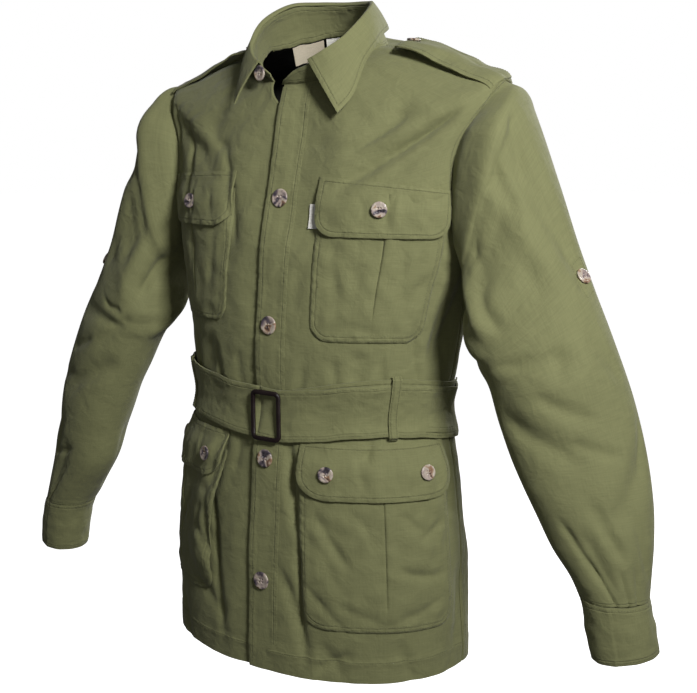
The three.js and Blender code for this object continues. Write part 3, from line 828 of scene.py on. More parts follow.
def finish_with(tree, shader, colour, factor, roughness, **others):
    """Gives the shader its colour times a grey factor, its roughness and its other inputs."""
    put(tree, shader.inputs["Base Color"], tinted(tree, colour, factor))
    put(tree, shader.inputs["Roughness"], roughness)
    for name, value in others.items():
        put(tree, shader.inputs[name.replace("_", " ")], value)


def mapped(tree, name):
    """Coordinates of a map of the mesh."""
    made = tree.nodes.new("ShaderNodeUVMap")
    made.uv_map = name
    return made.outputs[0]


def object_place(tree):
    """Coordinates of the object."""
    return tree.nodes.new("ShaderNodeTexCoord").outputs["Object"]


def cotton(name, colour):
    """Plain-woven cotton: fine bands both ways, slubs stretched along each thread, soft crumple, a
    furrow along the stitches, painted darker as shade, with puckers beside it, and a rounded edge, a
    little darker."""
    material, tree, shader = start_material(name)
    cloth = mapped(tree, "cloth")
    solid = object_place(tree)
    edge = tree.nodes.new("ShaderNodeAttribute")
    edge.attribute_name = "edge"
    edge = edge.outputs["Fac"]
    warp = noise(tree, scaled(tree, cloth, (900, 40, 1)), detail=2)
    weft = noise(tree, scaled(tree, cloth, (45, 800, 1)), detail=2)
    blotch = noise(tree, solid, scale=22, detail=3)
    grain = calc(tree, "ADD", calc(tree, "MULTIPLY", warp, 0.22), calc(tree, "MULTIPLY", weft, 0.3))
    grain = calc(tree, "ADD", grain, calc(tree, "MULTIPLY", blotch, 0.16))
    # Colour a little darker within 1.6 mm of a sewn edge.
    darker_edge = ranged(tree, edge, 0.0, 1.6, -0.03, 0.0)
    from_stitch = calc(tree, "ABSOLUTE", calc(tree, "SUBTRACT", edge, STITCH_IN))
    furrow = ranged(tree, from_stitch, 0, 1.1, 1, 0)
    # Painted shade: the colour is a tenth darker along the furrow of the stitches.
    grain = calc(tree, "ADD", grain, calc(tree, "SUBTRACT", darker_edge, calc(tree, "MULTIPLY", furrow, 0.1)))
    factor = calc(tree, "ADD", grain, 0.66)
    finish_with(
        tree, shader, colour, factor, 0.82,
        Specular_IOR_Level=0.25, Sheen_Weight=0.12, Sheen_Roughness=0.5,
    )
    weave = calc(tree, "ADD", waves(tree, cloth, 560, "X"), waves(tree, cloth, 560, "Y"))
    height = calc(tree, "MULTIPLY", weave, 0.03)
    crumple = noise(tree, solid, scale=48, detail=3, roughness=0.55, distortion=0.4)
    height = calc(tree, "MULTIPLY_ADD", crumple, 2.2, height)
    threads = calc(tree, "ADD", warp, weft)
    height = calc(tree, "MULTIPLY_ADD", threads, 0.05, height)
    from_pucker = calc(tree, "ABSOLUTE", calc(tree, "SUBTRACT", edge, 4.0))
    near = ranged(tree, from_pucker, 0, 8, 1.2, 0)
    pucker = noise(tree, solid, scale=170, detail=1)
    height = calc(tree, "ADD", height, calc(tree, "MULTIPLY", pucker, near))
    height = calc(tree, "MULTIPLY_ADD", furrow, -0.35, height)
    height = calc(tree, "ADD", height, ranged(tree, edge, 0.0, 1.5, -0.1, 0.0))
    bumped(tree, shader, height)
    return material


def make_cloth():
    """Olive cotton of the jacket."""
    return cotton("olive_cotton", alpha(bpy.context.scene.jacket_cloth.olive))


def make_painted_shade_inside():
    """Wrong side of the body's cloth, coloured near black as painted shade for the dark hollow inside the
    jacket.
    """
    return cotton("olive_cotton_painted_shade", alpha(bpy.context.scene.jacket_cloth.inside))


def make_thread():
    """Sewing thread a little darker than the cloth, with a fine twist."""
    material, tree, shader = start_material("olive_thread")
    twist = noise(tree, object_place(tree), scale=900, detail=2)
    factor = calc(tree, "MULTIPLY_ADD", twist, 0.5, 0.75)
    finish_with(tree, shader, alpha(bpy.context.scene.jacket_cloth.thread), factor, 0.6)
    bumped(tree, shader, twist, 0.0002)
    return material


def make_horn():
    """Mottled horn: large distorted patches of cream, rose grey, orange brown and near black, under a
    thin gloss."""
    material, tree, shader = start_material("mottled_horn")
    spots = noise(tree, object_place(tree), scale=95, detail=2.5, roughness=0.5, distortion=0.6)
    ramp = tree.nodes.new("ShaderNodeValToRGB")
    stops = (
        (0.30, (0.018, 0.015, 0.018, 1)),
        (0.40, (0.11, 0.09, 0.11, 1)),
        (0.48, (0.44, 0.35, 0.31, 1)),
        (0.56, (0.57, 0.50, 0.41, 1)),
        (0.63, (0.34, 0.20, 0.12, 1)),
        (0.72, (0.05, 0.035, 0.035, 1)),
    )
    while len(ramp.color_ramp.elements) < len(stops):
        ramp.color_ramp.elements.new(0.5)
    for element, (position, colour) in zip(ramp.color_ramp.elements, stops):
        element.position = position
        element.color = colour
    put(tree, ramp.inputs[0], spots)
    put(tree, shader.inputs["Base Color"], ramp.outputs[0])
    put(tree, shader.inputs["Roughness"], 0.28)
    put(tree, shader.inputs["Coat Weight"], 0.25)
    put(tree, shader.inputs["Coat Roughness"], 0.12)
    bumped(tree, shader, spots, 0.0002)
    return material


def make_buckle():
    """Dark brown moulded buckle with a fine grain and rubbed high spots."""
    material, tree, shader = start_material("buckle_brown")
    grain = noise(tree, object_place(tree), scale=700, detail=3)
    rubbed = noise(tree, object_place(tree), scale=90, detail=2)
    factor = calc(tree, "ADD", calc(tree, "MULTIPLY_ADD", grain, 0.6, rubbed), 0.3)
    roughness = ranged(tree, rubbed, 0.3, 0.7, 0.3, 0.5)
    finish_with(tree, shader, alpha(bpy.context.scene.jacket_trim.buckle), factor, roughness)
    bumped(tree, shader, grain, 0.0003)
    return material


def woven_label(name, colour):
    """Satin label: fine bands across it with a few uneven threads."""
    material, tree, shader = start_material(name)
    cloth = mapped(tree, "cloth")
    threads = noise(tree, scaled(tree, cloth, (90, 1500, 1)), detail=2)
    specks = noise(tree, scaled(tree, cloth, (600, 600, 1)), detail=2)
    factor = calc(tree, "MULTIPLY_ADD", threads, 0.3, calc(tree, "MULTIPLY", specks, 0.25))
    finish_with(tree, shader, colour, calc(tree, "ADD", factor, 0.68), 0.7)
    bumped(tree, shader, threads, 0.0003)
    return material


def make_neck_label():
    """Beige woven label, bare."""
    return woven_label("beige_label", alpha(bpy.context.scene.jacket_trim.label))


def make_white_label():
    """White woven label, bare."""
    return woven_label("white_label", (0.86, 0.84, 0.77, 1.0))


FINISH_MAKERS = {
    "cloth": make_cloth,
    "hollow": make_painted_shade_inside,
    "thread": make_thread,
    "horn": make_horn,
    "buckle": make_buckle,
    "neck_label": make_neck_label,
    "white_label": make_white_label,
}

# Levels of the panels' rows: closer together at the hem's stitches and at the armhole's ends
LEVELS = spaced(
    (HEM, 3.0),
    (-668, 0.8),
    (-664, 4.0),
    (UNDERARM, 2.0),
    (-208, 3.8),
    (-125, 1.2),
    (SHOULDER, 3.0),
    (NECK, 1),
)


def hem_turned(level):
    """Extra height over the turned hem: a small step at its stitched line."""
    return 0.5 * smooth((HEM + HEM_TURN - level) / 1.2)


def hem_line(points):
    """Distance that puts the furrow of the stitching on the hem's line."""
    return STITCH_IN + np.abs(arc(points, 0) - HEM_STITCH)


def ends_on_side(level):
    """Levels at which a panel ends on the side line and not on the armhole."""
    return (level <= UNDERARM) | (level >= SHOULDER)


def at_facing(level):
    """Step from 0 to 1 where the facing at the foot starts."""
    return smooth((HEM + FACING_HEIGHT - level) / 1.5)


def front_left():
    """Left front: columns from the placket's edge to the side; the last few degrees lie under the
    back, and the sewn-on facing at the foot stands out a little."""
    level = LEVELS[:, None]
    band_end = angle_of(PLACKET_RIGHT, level)
    band = angle_of(lerp(PLACKET_LEFT, PLACKET_RIGHT, np.linspace(0, 1, 9)), level)
    outside = ends_on_side(level)
    own = 90 - notch(level, 1)
    last = own + np.where(outside, LAP, 0.0)
    rest = lerp(band_end, last, np.linspace(0, 1, 76)[1:])
    phi = np.concatenate([band, rest], axis=1)
    under = np.where(outside, smooth((phi - own + 0.5) / 0.6), 0.0)
    facing = smooth((70 - body(phi, level)[..., 0]) / 1.5) * at_facing(level)
    out = hem_turned(level) + 1.1 * facing - 1.5 * under
    points = on(phi, level, out)
    surface = Surface(points, outward(phi, level))
    sides = from_edges(points, ("last",))
    return surface, np.minimum(np.where(outside, FAR_FROM_EDGE, sides), hem_line(points))


def front_right():
    """Right front: it runs under the left one, and its top corner opens away from the neck."""
    level = LEVELS[:, None]
    under = angle_of(PLACKET_RIGHT - 6, level)
    open_ = smooth((level + 92) / (NECK + 92))
    first = lerp(under, -20.0, open_)
    outside = ends_on_side(level)
    own = -90 + notch(level, 1)
    last = own - np.where(outside, LAP, 0.0)
    phi = lerp(first, last, np.linspace(0, 1, 86) ** 0.9)
    lap = smooth((phi - angle_of(PLACKET_LEFT, level) + 9) / 8)
    beneath = np.where(outside, smooth((own - phi + 0.5) / 0.6), 0.0)
    out = hem_turned(level) - 2.6 * lap - 1.5 * beneath
    points = on(phi, level, out)
    surface = Surface(points, outward(phi, level))
    sides = from_edges(points, ("last",))
    top = from_edges(points, ("first",))
    edge = np.where(outside, np.where(level > -100, top, FAR_FROM_EDGE), sides)
    return surface, np.minimum(edge, hem_line(points))


def back_panel():
    """Back: columns from one side edge round to the other."""
    level = LEVELS[:, None]
    first = 90 + notch(level, 2) + BACK_SHORT
    last = 270 - notch(level, 2) - BACK_SHORT
    phi = lerp(first, last, np.linspace(0, 1, 121))
    points = on(phi, level, hem_turned(level))
    edge = from_edges(points, ("first", "last"))
    return Surface(points, outward(phi, level)), np.minimum(edge, hem_line(points))


# Columns of the placket, as shares of its width: closer together at both sewn edges
PLACKET_COLUMNS = (
    0, 0.02, 0.06, 0.1, 0.15, 0.22, 0.32, 0.44,
    0.56, 0.68, 0.78, 0.85, 0.9, 0.94, 0.98, 1,
)


def placket():
    """Placket: a band from its left edge to its right, one layer out and thinning to the right, with
    small ripples along both sewn edges."""
    level = LEVELS[(LEVELS <= -49)][:, None]
    share = np.array(PLACKET_COLUMNS)
    x = lerp(PLACKET_LEFT, PLACKET_RIGHT, share)
    phi = angle_of(x, level)
    width = PLACKET_RIGHT - PLACKET_LEFT
    left = share * width
    right = (1 - share) * width
    ripple = np.sin(TURN * level / 13 + 2 * np.sin(level / 37)) * (0.6 + 0.4 * np.sin(level / 71))
    ripple = 0.45 * ripple * (bell(left - 2, 5) + 0.6 * bell(right - 2, 4))
    foot = 0.5 * at_facing(level)
    out = LAYER * (1 - 0.85 * smooth((share - 0.4) / 0.6)) + foot + ripple
    points = on(phi, level, out)
    surface = Surface(points, outward(phi, level))
    return surface, from_edges(points, ("first", "last"))


def sleeve_ring(table, place_, side, angle):
    """Ring of a sleeve at a place along: the middle of its outer and inner points, plus half their
    distance times the cosine and the half depth times the sine of the angle, each to a power."""
    outer = vec(*(read(table, place_, c) for c in (1, 2, 3)))
    inner = vec(*(read(table, place_, c) for c in (4, 5, 6)))
    turn = math.radians(read(table, place_, 8))
    square = lerp(HEAD_POWER, 1.0, smooth(place_ / 2))
    deep = np.array([math.sin(turn), -math.cos(turn), 0]) * read(table, place_, 7)
    a = np.radians(angle)[:, None]
    beside = lerp(FRONT_POWER, 1.0, smooth((place_ - 2.2) / 2.4))
    beside = np.where((np.cos(a) < 0) & (np.sin(a) > 0), beside, 1.0)
    upper = signed_power(np.cos(a), np.where(np.cos(a) > 0, square, beside))
    across = signed_power(np.sin(a), beside)
    points = (outer + inner) / 2 + (outer - inner) / 2 * upper + deep * across
    return points * np.array([side, 1, 1])


def armhole_edge(side, angle):
    """Armhole's edge on the body at the sleeve's angles, with the directions out of the body and
    towards the middle of the hole."""
    marks = np.array([row[0] for row in ARMHOLE])[::-1]
    table = np.stack([np.arange(len(marks)), marks], axis=1)
    index = np.where(angle <= 180, angle, 360 - angle) / 18
    level = read(table, index, 1)
    away = np.where(angle <= 180, -notch(level, 1), notch(level, 2))
    phi = side * (90 + away)
    points = on(phi, level)
    out = outward(phi, level)
    tangent = np.roll(points, -1, 0) - np.roll(points, 1, 0)
    inward = unit(np.cross(tangent, out))
    middle = np.array([side * ARMHOLE_MIDDLE[0], *ARMHOLE_MIDDLE[1:]])
    inward *= np.sign(np.sum(inward * (middle - points), -1))[:, None]
    return points, out, inward


def sleeve_rows():
    """Places of a sleeve's rows, from under the body's edge to the cuff."""
    return spaced((-0.42, 0.02), (-0.3, 0.045), (7, 0.04), (8, 1))


def sleeve_spot(name, angle, row, lift):
    """Points of a sleeve at angles round it and places along it, with their directions out."""
    rows = sleeve_rows()
    i = np.interp(row, rows, np.arange(len(rows)))
    return SURFACES["sleeve_" + name + "_cloth"].at(i, angle / 360 * SLEEVE_COLUMNS, lift)


def sleeve(side, table, creases):
    """Sleeve: rings joined by Hermite curves along it. It starts under the body's edge, and folds and
    a roll beside the armhole's seam move its points along the direction out of it."""
    angle = np.linspace(0, 360, SLEEVE_COLUMNS, endpoint=False)
    edge, out, inward = armhole_edge(side, angle)
    places = (0, 0.6, 1.3, 2, 2.7, 3.4, 4.1, 4.8, 5.5, 6.2, 6.9, 7.5, 8)
    rings = [edge - inward * 5 - out * 1.6, edge + inward * 0.6 - out * 1.0]
    rings += [sleeve_ring(table, p, side, angle) for p in places]
    keys = np.array([-0.42, -0.34, *places])
    rows = sleeve_rows()
    stack = np.stack(rings)
    flat = np.concatenate([keys[:, None], stack.reshape(len(keys), -1)], axis=1)
    base = np.stack([read(flat, rows, 1 + c) for c in range(flat.shape[1] - 1)], axis=1)
    base = base.reshape(len(rows), len(angle), 3)
    centre = base.mean(axis=1, keepdims=True)
    smooth_form = Surface(base, base - centre, closed=True)
    u = angle[None, :]
    v = rows[:, None]
    depth = folded(SLEEVE_FOLDS, u, v, SLEEVE_DEGREE, PLACE, 360)
    small = folded(creases, u, v, SLEEVE_DEGREE, PLACE, 360)
    ripple = 0.5 * uneven(u * SLEEVE_DEGREE, v * PLACE, 80, 11) * np.sin(np.radians(u) / 2) ** 2
    strength = bpy.context.scene.jacket_cloth.creases
    fade = smooth((v + 0.3) / 0.5)
    shift = fade * (depth + strength * (small + ripple))
    beside = smooth((u - 34) / 30) * smooth((162 - u) / 34)
    rise = smooth((v + 0.35) / 0.15) * (1 - smooth((v + 0.05) / 0.8))
    shift = shift + SEAM_RISE * beside * rise
    points = base + smooth_form.out * shift[..., None]
    surface = Surface(points, points - centre, closed=True)
    along = arc(points, 0)
    return surface, np.minimum(FAR_FROM_EDGE, np.abs(along[-1:] - along) + 2.0)


def cuff(side, table):
    """Cuff: a doubled band round the wrist, with a lapped edge down its front."""
    angle = np.linspace(0, 360, SLEEVE_COLUMNS, endpoint=False)
    places = spaced((CUFF_START + 0.02, 0.05), (8.15, 0.09), (9.85, 0.05), (10, 1))
    rings = np.stack([sleeve_ring(table, p, side, angle) for p in places])
    centre = rings.mean(axis=1, keepdims=True)
    form = Surface(rings, rings - centre, closed=True)
    ends = np.minimum(places - CUFF_START, 10 - places)[:, None]
    swell = 0.6 * smooth(ends / 0.25)
    lap = 0.9 * smooth((angle - 118) / 1.5) * smooth((190 - angle) / 60)
    wave = 0.35 * uneven(angle[None, :] * 0.55, places[:, None] * 30, 22, 21)
    points = rings + form.out * (swell + lap[None, :] + wave)[..., None]
    surface = Surface(points, points - centre, CUFF_WALL, closed=True)
    return surface, from_edges(points, ("low", "high"))


def neck_out(point):
    """Level direction away from the middle of the neck."""
    x, y = NECK_MIDDLE
    return unit(vec(point[..., 0] - x, point[..., 1] - y, 0.0))


def stand_top(phi):
    """Top edge of the collar's stand at an angle round the neck."""
    return vec(*(read(COLLAR, phi, c) for c in (1, 2, 3)))


def collar_stand():
    """Stand: straight from the neck seam to its top edge, with a slight bulge."""
    phi = spaced((-11, 1.5), (40, 2.5), (320, 1.5), (340, 1))
    seam = on(phi, np.full(phi.shape, NECK))
    rise = unit(seam - on(phi, np.full(phi.shape, NECK - 1)))
    t = np.linspace(0, 1, 15)[:, None, None]
    points = lerp(seam + rise * 0.7, stand_top(phi), t)
    out = neck_out(points)
    points = points + out * (3 * t * (1 - t))
    points[..., 2] += 0.3 * np.sin(phi / 5)
    return Surface(points, out, COLLAR_WALL), from_edges(points, ("low", "high"))


def collar_leaf():
    """Leaf: it starts on the stand's top edge, rolls over it in a half turn and falls outside to its
    lower edge, with a slight bulge."""
    table = [row for row in COLLAR if row[5]]
    phi = spaced((20, 1.2), (60, 2.5), (290, 1.2), (330, 1))
    top = stand_top(phi)
    out = neck_out(top)
    low = vec(*(read(table, phi, c) for c in (4, 5, 6)))
    t = np.array([0, 0.02, 0.04, 0.06, 0.08, 0.1, 0.12, 0.14, ROLL_END, *np.linspace(0.2, 1, 24)])
    rows = []
    for step in t:
        rolled = step / ROLL_END
        point = top + out * 3.4 * smooth(rolled)
        point[..., 2] += 0.5 + COLLAR_WALL / 2 + 3.2 * math.sin(math.pi * min(rolled, 1) * 0.62)
        fall = max(0.0, (step - ROLL_END) / (1 - ROLL_END))
        point = lerp(point, low, fall)
        wave = 0.8 * uneven(phi * 1.5, step * 60.0, 60, 31) * fall
        point = point + out * (2.4 * math.sin(math.pi * fall) + wave)[..., None]
        rows.append(point)
    points = np.stack(rows)
    hint = np.where(np.arange(len(t))[:, None, None] > 12, out, 0.0)
    surface = Surface(points, hint, COLLAR_WALL)
    return surface, from_edges(points, ("first", "last", "high"))


# Marks of a patch's grid in millimetres: in from each end, step between them, and beside the pleat
EDGE_MARKS = (0, 0.5, 1.4, 2.6, 4.2, 6)
PATCH_STEP = 2.6
PLEAT_MARKS = (-2.2, -1.1, -0.4, 0.4, 1.1, 2.2)


class Patch:
    """Patch on the body: a rounded pattern in millimetres, x across from its inner edge and y up from
    its foot, laid on the body between an inner and an outer angle."""

    def __init__(self, side, inner, outer, top, top_outer, foot, corner):
        self.side = side
        self.inner = inner
        self.outer = outer
        self.top = top
        self.top_outer = top_outer
        self.foot = foot
        self.corner = corner
        self.tall = top - foot
        z = (top + foot) / 2
        ends = [self.angle(0.0, z), self.angle(1.0, z)]
        row = plain_at(np.linspace(*ends, 30), np.full(30, z), np.zeros(30))
        self.wide = float(np.linalg.norm(np.diff(row, axis=0), axis=-1).sum())

    def angle(self, share, z):
        """Angle at a share of the way across."""
        return lerp(self.side * self.inner(z), self.side * self.outer, share)

    def height(self, x, y):
        """Height of a point of the pattern."""
        top = lerp(self.top, self.top_outer, x / self.wide)
        return self.foot + (top - self.foot) * y / self.tall

    def foot_at(self, x):
        """Height of the foot line above the foot: an arc in each lower corner, nought between them."""
        r = self.corner
        side = np.minimum(x, self.wide - x)
        return np.where(side < r, r - np.sqrt(np.maximum(r**2 - (r - side) ** 2, 0)), 0.0)

    def marks(self, size):
        """Grid marks across or up the pattern: close together near both ends, even between them."""
        near = np.array(EDGE_MARKS)
        count = round((size - 2 * near[-1]) / PATCH_STEP)
        between = np.linspace(near[-1], size - near[-1], count)[1:-1]
        return np.concatenate([near, between, size - near[::-1]])

    def edge(self, x, y, top=False):
        """Distance in from the outline: to the nearest side, or to the arc in a lower corner."""
        r = self.corner
        side = np.minimum(x, self.wide - x)
        found = np.minimum(side, y)
        if top:
            found = np.minimum(found, self.tall - y)
        round_ = r - np.hypot(r - side, r - y)
        return np.where((side < r) & (y < r), round_, found)

    def laid(self, name, rise, wall, top_sewn):
        """Surface of the pattern on the body, moved out by rise(x, y, edge distance) and its creases."""
        x = self.marks(self.wide)
        centre = self.wide / 2 + np.array(PLEAT_MARKS)
        x = np.sort(np.concatenate([x[np.abs(x - self.wide / 2) > 3.2], centre]))
        v = self.marks(self.tall)[:, None] / self.tall
        low = self.foot_at(x)[None, :]
        y = low + (self.tall - low) * v
        xx = np.broadcast_to(x, y.shape)
        z = self.height(xx, y)
        phi = self.angle(xx / self.wide, z)
        level = level_of(phi, z)
        edge = self.edge(xx, y, top_sewn)
        strength = bpy.context.scene.jacket_cloth.creases
        creases = folded(POCKET_CREASES[name], xx, y, 1.0, 1.0)
        out = rise(xx, y, edge) + strength * creases * smooth(edge / 9)
        surface = Surface(on(phi, level, out), outward(phi, level), wall)
        self.x = x
        self.v = v[:, 0]
        self.surface = surface
        return surface, edge

    def at(self, x, y, lift=0.0):
        """Point on the laid patch at a place of the pattern."""
        low = self.foot_at(x)
        share = (y - low) / (self.tall - low)
        j = np.interp(x, self.x, np.arange(len(self.x)))
        i = np.interp(share, self.v, np.arange(len(self.v)))
        return self.surface.at(i, j, lift)

    def outline(self, inset, closed_top=False):
        """Line of the pattern a given distance inside its outline: down the inner side, round the
        corners along the foot and up the outer side."""
        r = self.corner - inset
        a = np.linspace(0, math.pi / 2, 12)
        top = self.tall - (inset if closed_top else 1.0)
        w = self.wide
        c = self.corner
        x = [[inset], c - r * np.cos(a), w - c + r * np.sin(a), [w - inset]]
        y = [[top], c - r * np.sin(a), c - r * np.cos(a), [top]]
        if closed_top:
            x.append([inset])
            y.append([top])
        return np.concatenate(x), np.concatenate(y)


# Pockets: name, side, inner x, inner x low down, outer angle, bag top, bag foot, flap top, flap top
# at its outer end, flap foot, how far the inner edge stands off
POCKETS = (
    ("breast", "left", 1, 52, 52, 63.5, -160, -315, -142, -156, -205, 0),
    ("breast", "right", -1, 62, 62, 61, -158, -305, -139, -146, -200, 0),
    ("lower", "left", 1, 44, 50, 82, -450, -630, -426, -426, -485, 2),
    ("lower", "right", -1, 54, 68, 77, -450, -620, -428, -428, -482, 13),
)

# Creases of the pockets: place at the start and at the end, across and up, width, depth, bow
POCKET_CREASES = {
    "lower_bag_left": (
        (12, 142, 56, 62, 5, -3.2, 5),
        (94, 70, 166, 60, 5, -2.6, 4),
        (122, 98, 166, 120, 5, -2.4, 0),
        (90, 14, 162, 36, 6, -3.0, 5),
        (34, 34, 84, 14, 6, -2.4, 4),
        (20, 100, 40, 40, 6, -1.8, 3),
        (60, 132, 78, 86, 5, -1.8, 0),
        (104, 134, 138, 108, 5, -1.8, 3),
    ),
    "lower_bag_right": (
        (20, 140, 30, 60, 6, -3.0, 4),
        (50, 120, 90, 60, 7, -3.0, 4),
        (30, 40, 80, 24, 6, -2.4, 3),
        (110, 130, 130, 60, 7, -2.4, 0),
    ),
    "lower_flap_left": (
        (58, 52, 64, 8, 4, -1.6, 0),
        (98, 54, 94, 10, 5, -1.4, 0),
        (36, 30, 24, 6, 4, -1.4, 0),
        (140, 34, 152, 8, 4, -1.4, 0),
        (80, 40, 78, 4, 4, 1.0, 0),
    ),
    "lower_flap_right": (
        (40, 50, 36, 8, 4, -1.8, 0),
        (84, 50, 90, 10, 5, -1.6, 0),
    ),
    "breast_bag_left": (
        (16, 120, 34, 30, 6, -1.8, 4),
        (88, 110, 104, 30, 6, -1.6, 3),
        (30, 20, 66, 12, 5, -1.4, 0),
    ),
    "breast_bag_right": (
        (22, 120, 30, 30, 6, -2.0, 4),
        (60, 110, 70, 40, 6, -1.8, 3),
    ),
    "breast_flap_left": (
        (40, 48, 50, 14, 4, -1.4, -3),
        (76, 48, 74, 14, 4, -1.4, 3),
    ),
    "breast_flap_right": (
        (30, 48, 26, 10, 4, -1.8, 0),
        (60, 46, 58, 8, 4, -1.8, 0),
        (78, 40, 84, 10, 4, -1.6, 0),
    ),
}


def pocket_inner(high_x, low_x, z):
    """Angle of a pocket's inner edge at a height: it moves from one x to another down the skirt."""
    return phi_at(lerp(high_x, low_x, smooth((-440 - z) / 160)), z)


def pocket_bag(kind, side, inner, low_inner, outer, top, foot, stand_off):
    """Bag of a pocket: it rises from its sewn edge, is fuller in the middle, has a pleat that opens
    along its centre, and stands off the body at its inner edge."""
    spare = 2 if kind == "lower" else 0

    def inner_angle(z):
        return pocket_inner(inner + spare, low_inner + spare, z)

    patch = Patch(side, inner_angle, outer - (1 if spare else 0), top, top, foot, 24 if spare else 20)

    def rise(x, y, edge):
        u = x / patch.wide
        v = 1 - y / patch.tall
        sewn = 1.0 + 0.7 * smooth(edge / 1.2)
        full = (2.4 if spare else 2.0) * smooth(edge / 22)
        centre = patch.wide / 2
        beside = x - centre
        slit = -1.8 * bell(beside, 0.9) * smooth((y - 22) / 10)
        step = 0.9 * smooth((beside + 0.8) / 1.2) * smooth((16 - beside) / 12) * smooth((y - 30) / 40)
        proud = stand_off * smooth((0.35 - u) / 0.35) * smooth(v / 0.4) * smooth((1 - v) / 0.3)
        wave = 0.5 * uneven(x, y, 30, int(inner)) * smooth(edge / 12)
        ripple = 0.3 * np.sin(TURN * (x + y) / 11) * bell(edge - 3, 4)
        hug = 1 - 0.5 * smooth((u - 0.55) / 0.4) * (side < 0)
        return 0.4 + (sewn + full + step + slit + wave + ripple) * hug + proud

    surface, edge = patch.laid(kind + "_bag_" + SIDE_NAMES[side], rise, WALL, False)
    return patch, surface, edge


def pocket_flap(kind, side, inner, low_inner, outer, top, top_outer, foot, stand_off):
    """Flap of a pocket: sewn along its top and lifting towards its free edge."""
    spare = 2 if kind == "breast" else 0

    def inner_angle(z):
        return pocket_inner(inner - spare, low_inner - spare, z)

    patch = Patch(side, inner_angle, outer + (1 if spare else 0), top, top_outer, foot, 22 if spare else 26)

    def rise(x, y, edge):
        u = x / patch.wide
        v = 1 - y / patch.tall
        lift = 5.2 if spare else 6.2
        lift = lift + 0.3 * stand_off * smooth((0.35 - u) / 0.35)
        beside = x - patch.wide / 2
        rib = 0.9 * bell(beside - 9, 3.5) + 0.7 * bell(beside + 10, 3.5)
        rib = rib * smooth(v / 0.2) * smooth((1 - v) / 0.3) * (1.0 if spare else 0.3)
        wave = 0.45 * uneven(x, y, 26, int(inner) + 7) * smooth(v / 0.2)
        ripple = 0.25 * np.sin(TURN * (x - y) / 10) * bell(edge - 4, 4)
        hug = 1 - 0.5 * smooth((u - 0.55) / 0.4) * (side < 0)
        return 1.9 + lift * hug * smooth(v / 0.55) + rib + wave + ripple

    surface, edge = patch.laid(kind + "_flap_" + SIDE_NAMES[side], rise, LAYER, True)
    return patch, surface, edge


def belt_at(phi, t, out):
    """Belt at an angle, and at t from -1 at its lower edge to 1 at its upper edge."""
    return plain_at(phi, read(BELT, phi, 1) + t * BELT_WIDTH / 2, out)


def belt_band():
    """Belt: a flat band round the waist, its edges a little uneven, pressed in beside the buckle and
    drawn in at both sides."""
    phi = np.linspace(-180, 180, 400, endpoint=False)
    t = np.linspace(1, -1, 19)[:, None]
    up = t * BELT_WIDTH / 2
    wave = 0.7 * uneven(phi * DEGREE, up, 60, 41) + 0.25 * uneven(phi * DEGREE, up, 18, 42)
    x = body(phi, np.full(phi.shape, BELT_LEVEL))[:, 0]
    press = -2.0 * bell(x + 9.5, 2.6)
    edge_roll = -0.5 * smooth((np.abs(t) - 0.93) / 0.07)
    slim = -4.0 * bell(phi + 82, 34) - 1.5 * bell(phi - 88, 30)
    out = BELT_OUT + 1.6 + wave + press + edge_roll + slim
    phi2 = np.broadcast_to(phi, out.shape)
    points = belt_at(phi2, np.broadcast_to(t, out.shape), out)
    points[..., 2] += 0.5 * uneven(phi2 * DEGREE, 0 * phi2, 70, 43)
    surface = Surface(points, out_of_waist(phi2), 1.8, closed=True)
    return surface, np.broadcast_to(np.minimum(1 - t, 1 + t) * BELT_WIDTH / 2, out.shape)


def belt_tip():
    """Tip of the belt: its free end, which runs on inside the belt and shows above it."""
    phi = np.linspace(10, 108, 100)
    t = np.linspace(1, -1, 15)[:, None]
    phi2 = np.broadcast_to(phi, (len(t), len(phi)))
    wave = 0.3 * uneven(phi2 * DEGREE, t * BELT_WIDTH / 2, 50, 45)
    points = belt_at(phi2, np.broadcast_to(t, phi2.shape), BELT_OUT - 1.1 + wave)
    points[..., 2] += 6 * smooth(phi / 40)
    surface = Surface(points, out_of_waist(phi2), 1.4)
    return surface, np.broadcast_to(np.minimum(1 - t, 1 + t) * BELT_WIDTH / 2, phi2.shape)


def belt_loop(phi, up):
    """Loop: a strip that climbs over the belt and is sewn down above and below it."""
    middle = read(BELT, phi, 1)
    above = np.linspace(33 + up, 29 + up, 9)
    below = np.linspace(-29, -32.5, 9)
    rise = np.concatenate([above, np.linspace(26, -26, 16), below])
    heights = [-33 - up, -31.6 - up, -30 - up, 30, 31.4, 32.5]
    out = np.interp(-rise, heights, [2.4, 4.6, 8.2, 8.2, 4.6, 2.4])
    out = np.convolve(np.pad(out, 1, mode="edge"), [0.25, 0.5, 0.25], mode="valid")[:, None]
    out = out - (2.6 if phi < 0 else 0.3) * smooth((out - 2) / 4)
    off = np.linspace(-2.1, 2.1, 11)
    crown = 0.5 * (1 - (off / 2.1) ** 2)
    z = (middle + rise)[:, None] + 0 * off
    phi2 = phi + off[None, :] + 0 * z
    points = plain_at(phi2, z, out + crown)
    surface = Surface(points, out_of_waist(phi2), WALL)
    return surface, from_edges(points, ("first", "last")) + 3.0


BUCKLE_SIZE = {
    "left": -16,
    "right": 22,
    "low": -431,
    "high": -372,
    "corner": 7,
    "bar": 2.6,
    "deep": 1.9,
    "power": 0.75,
    "skew": 0.07,
}


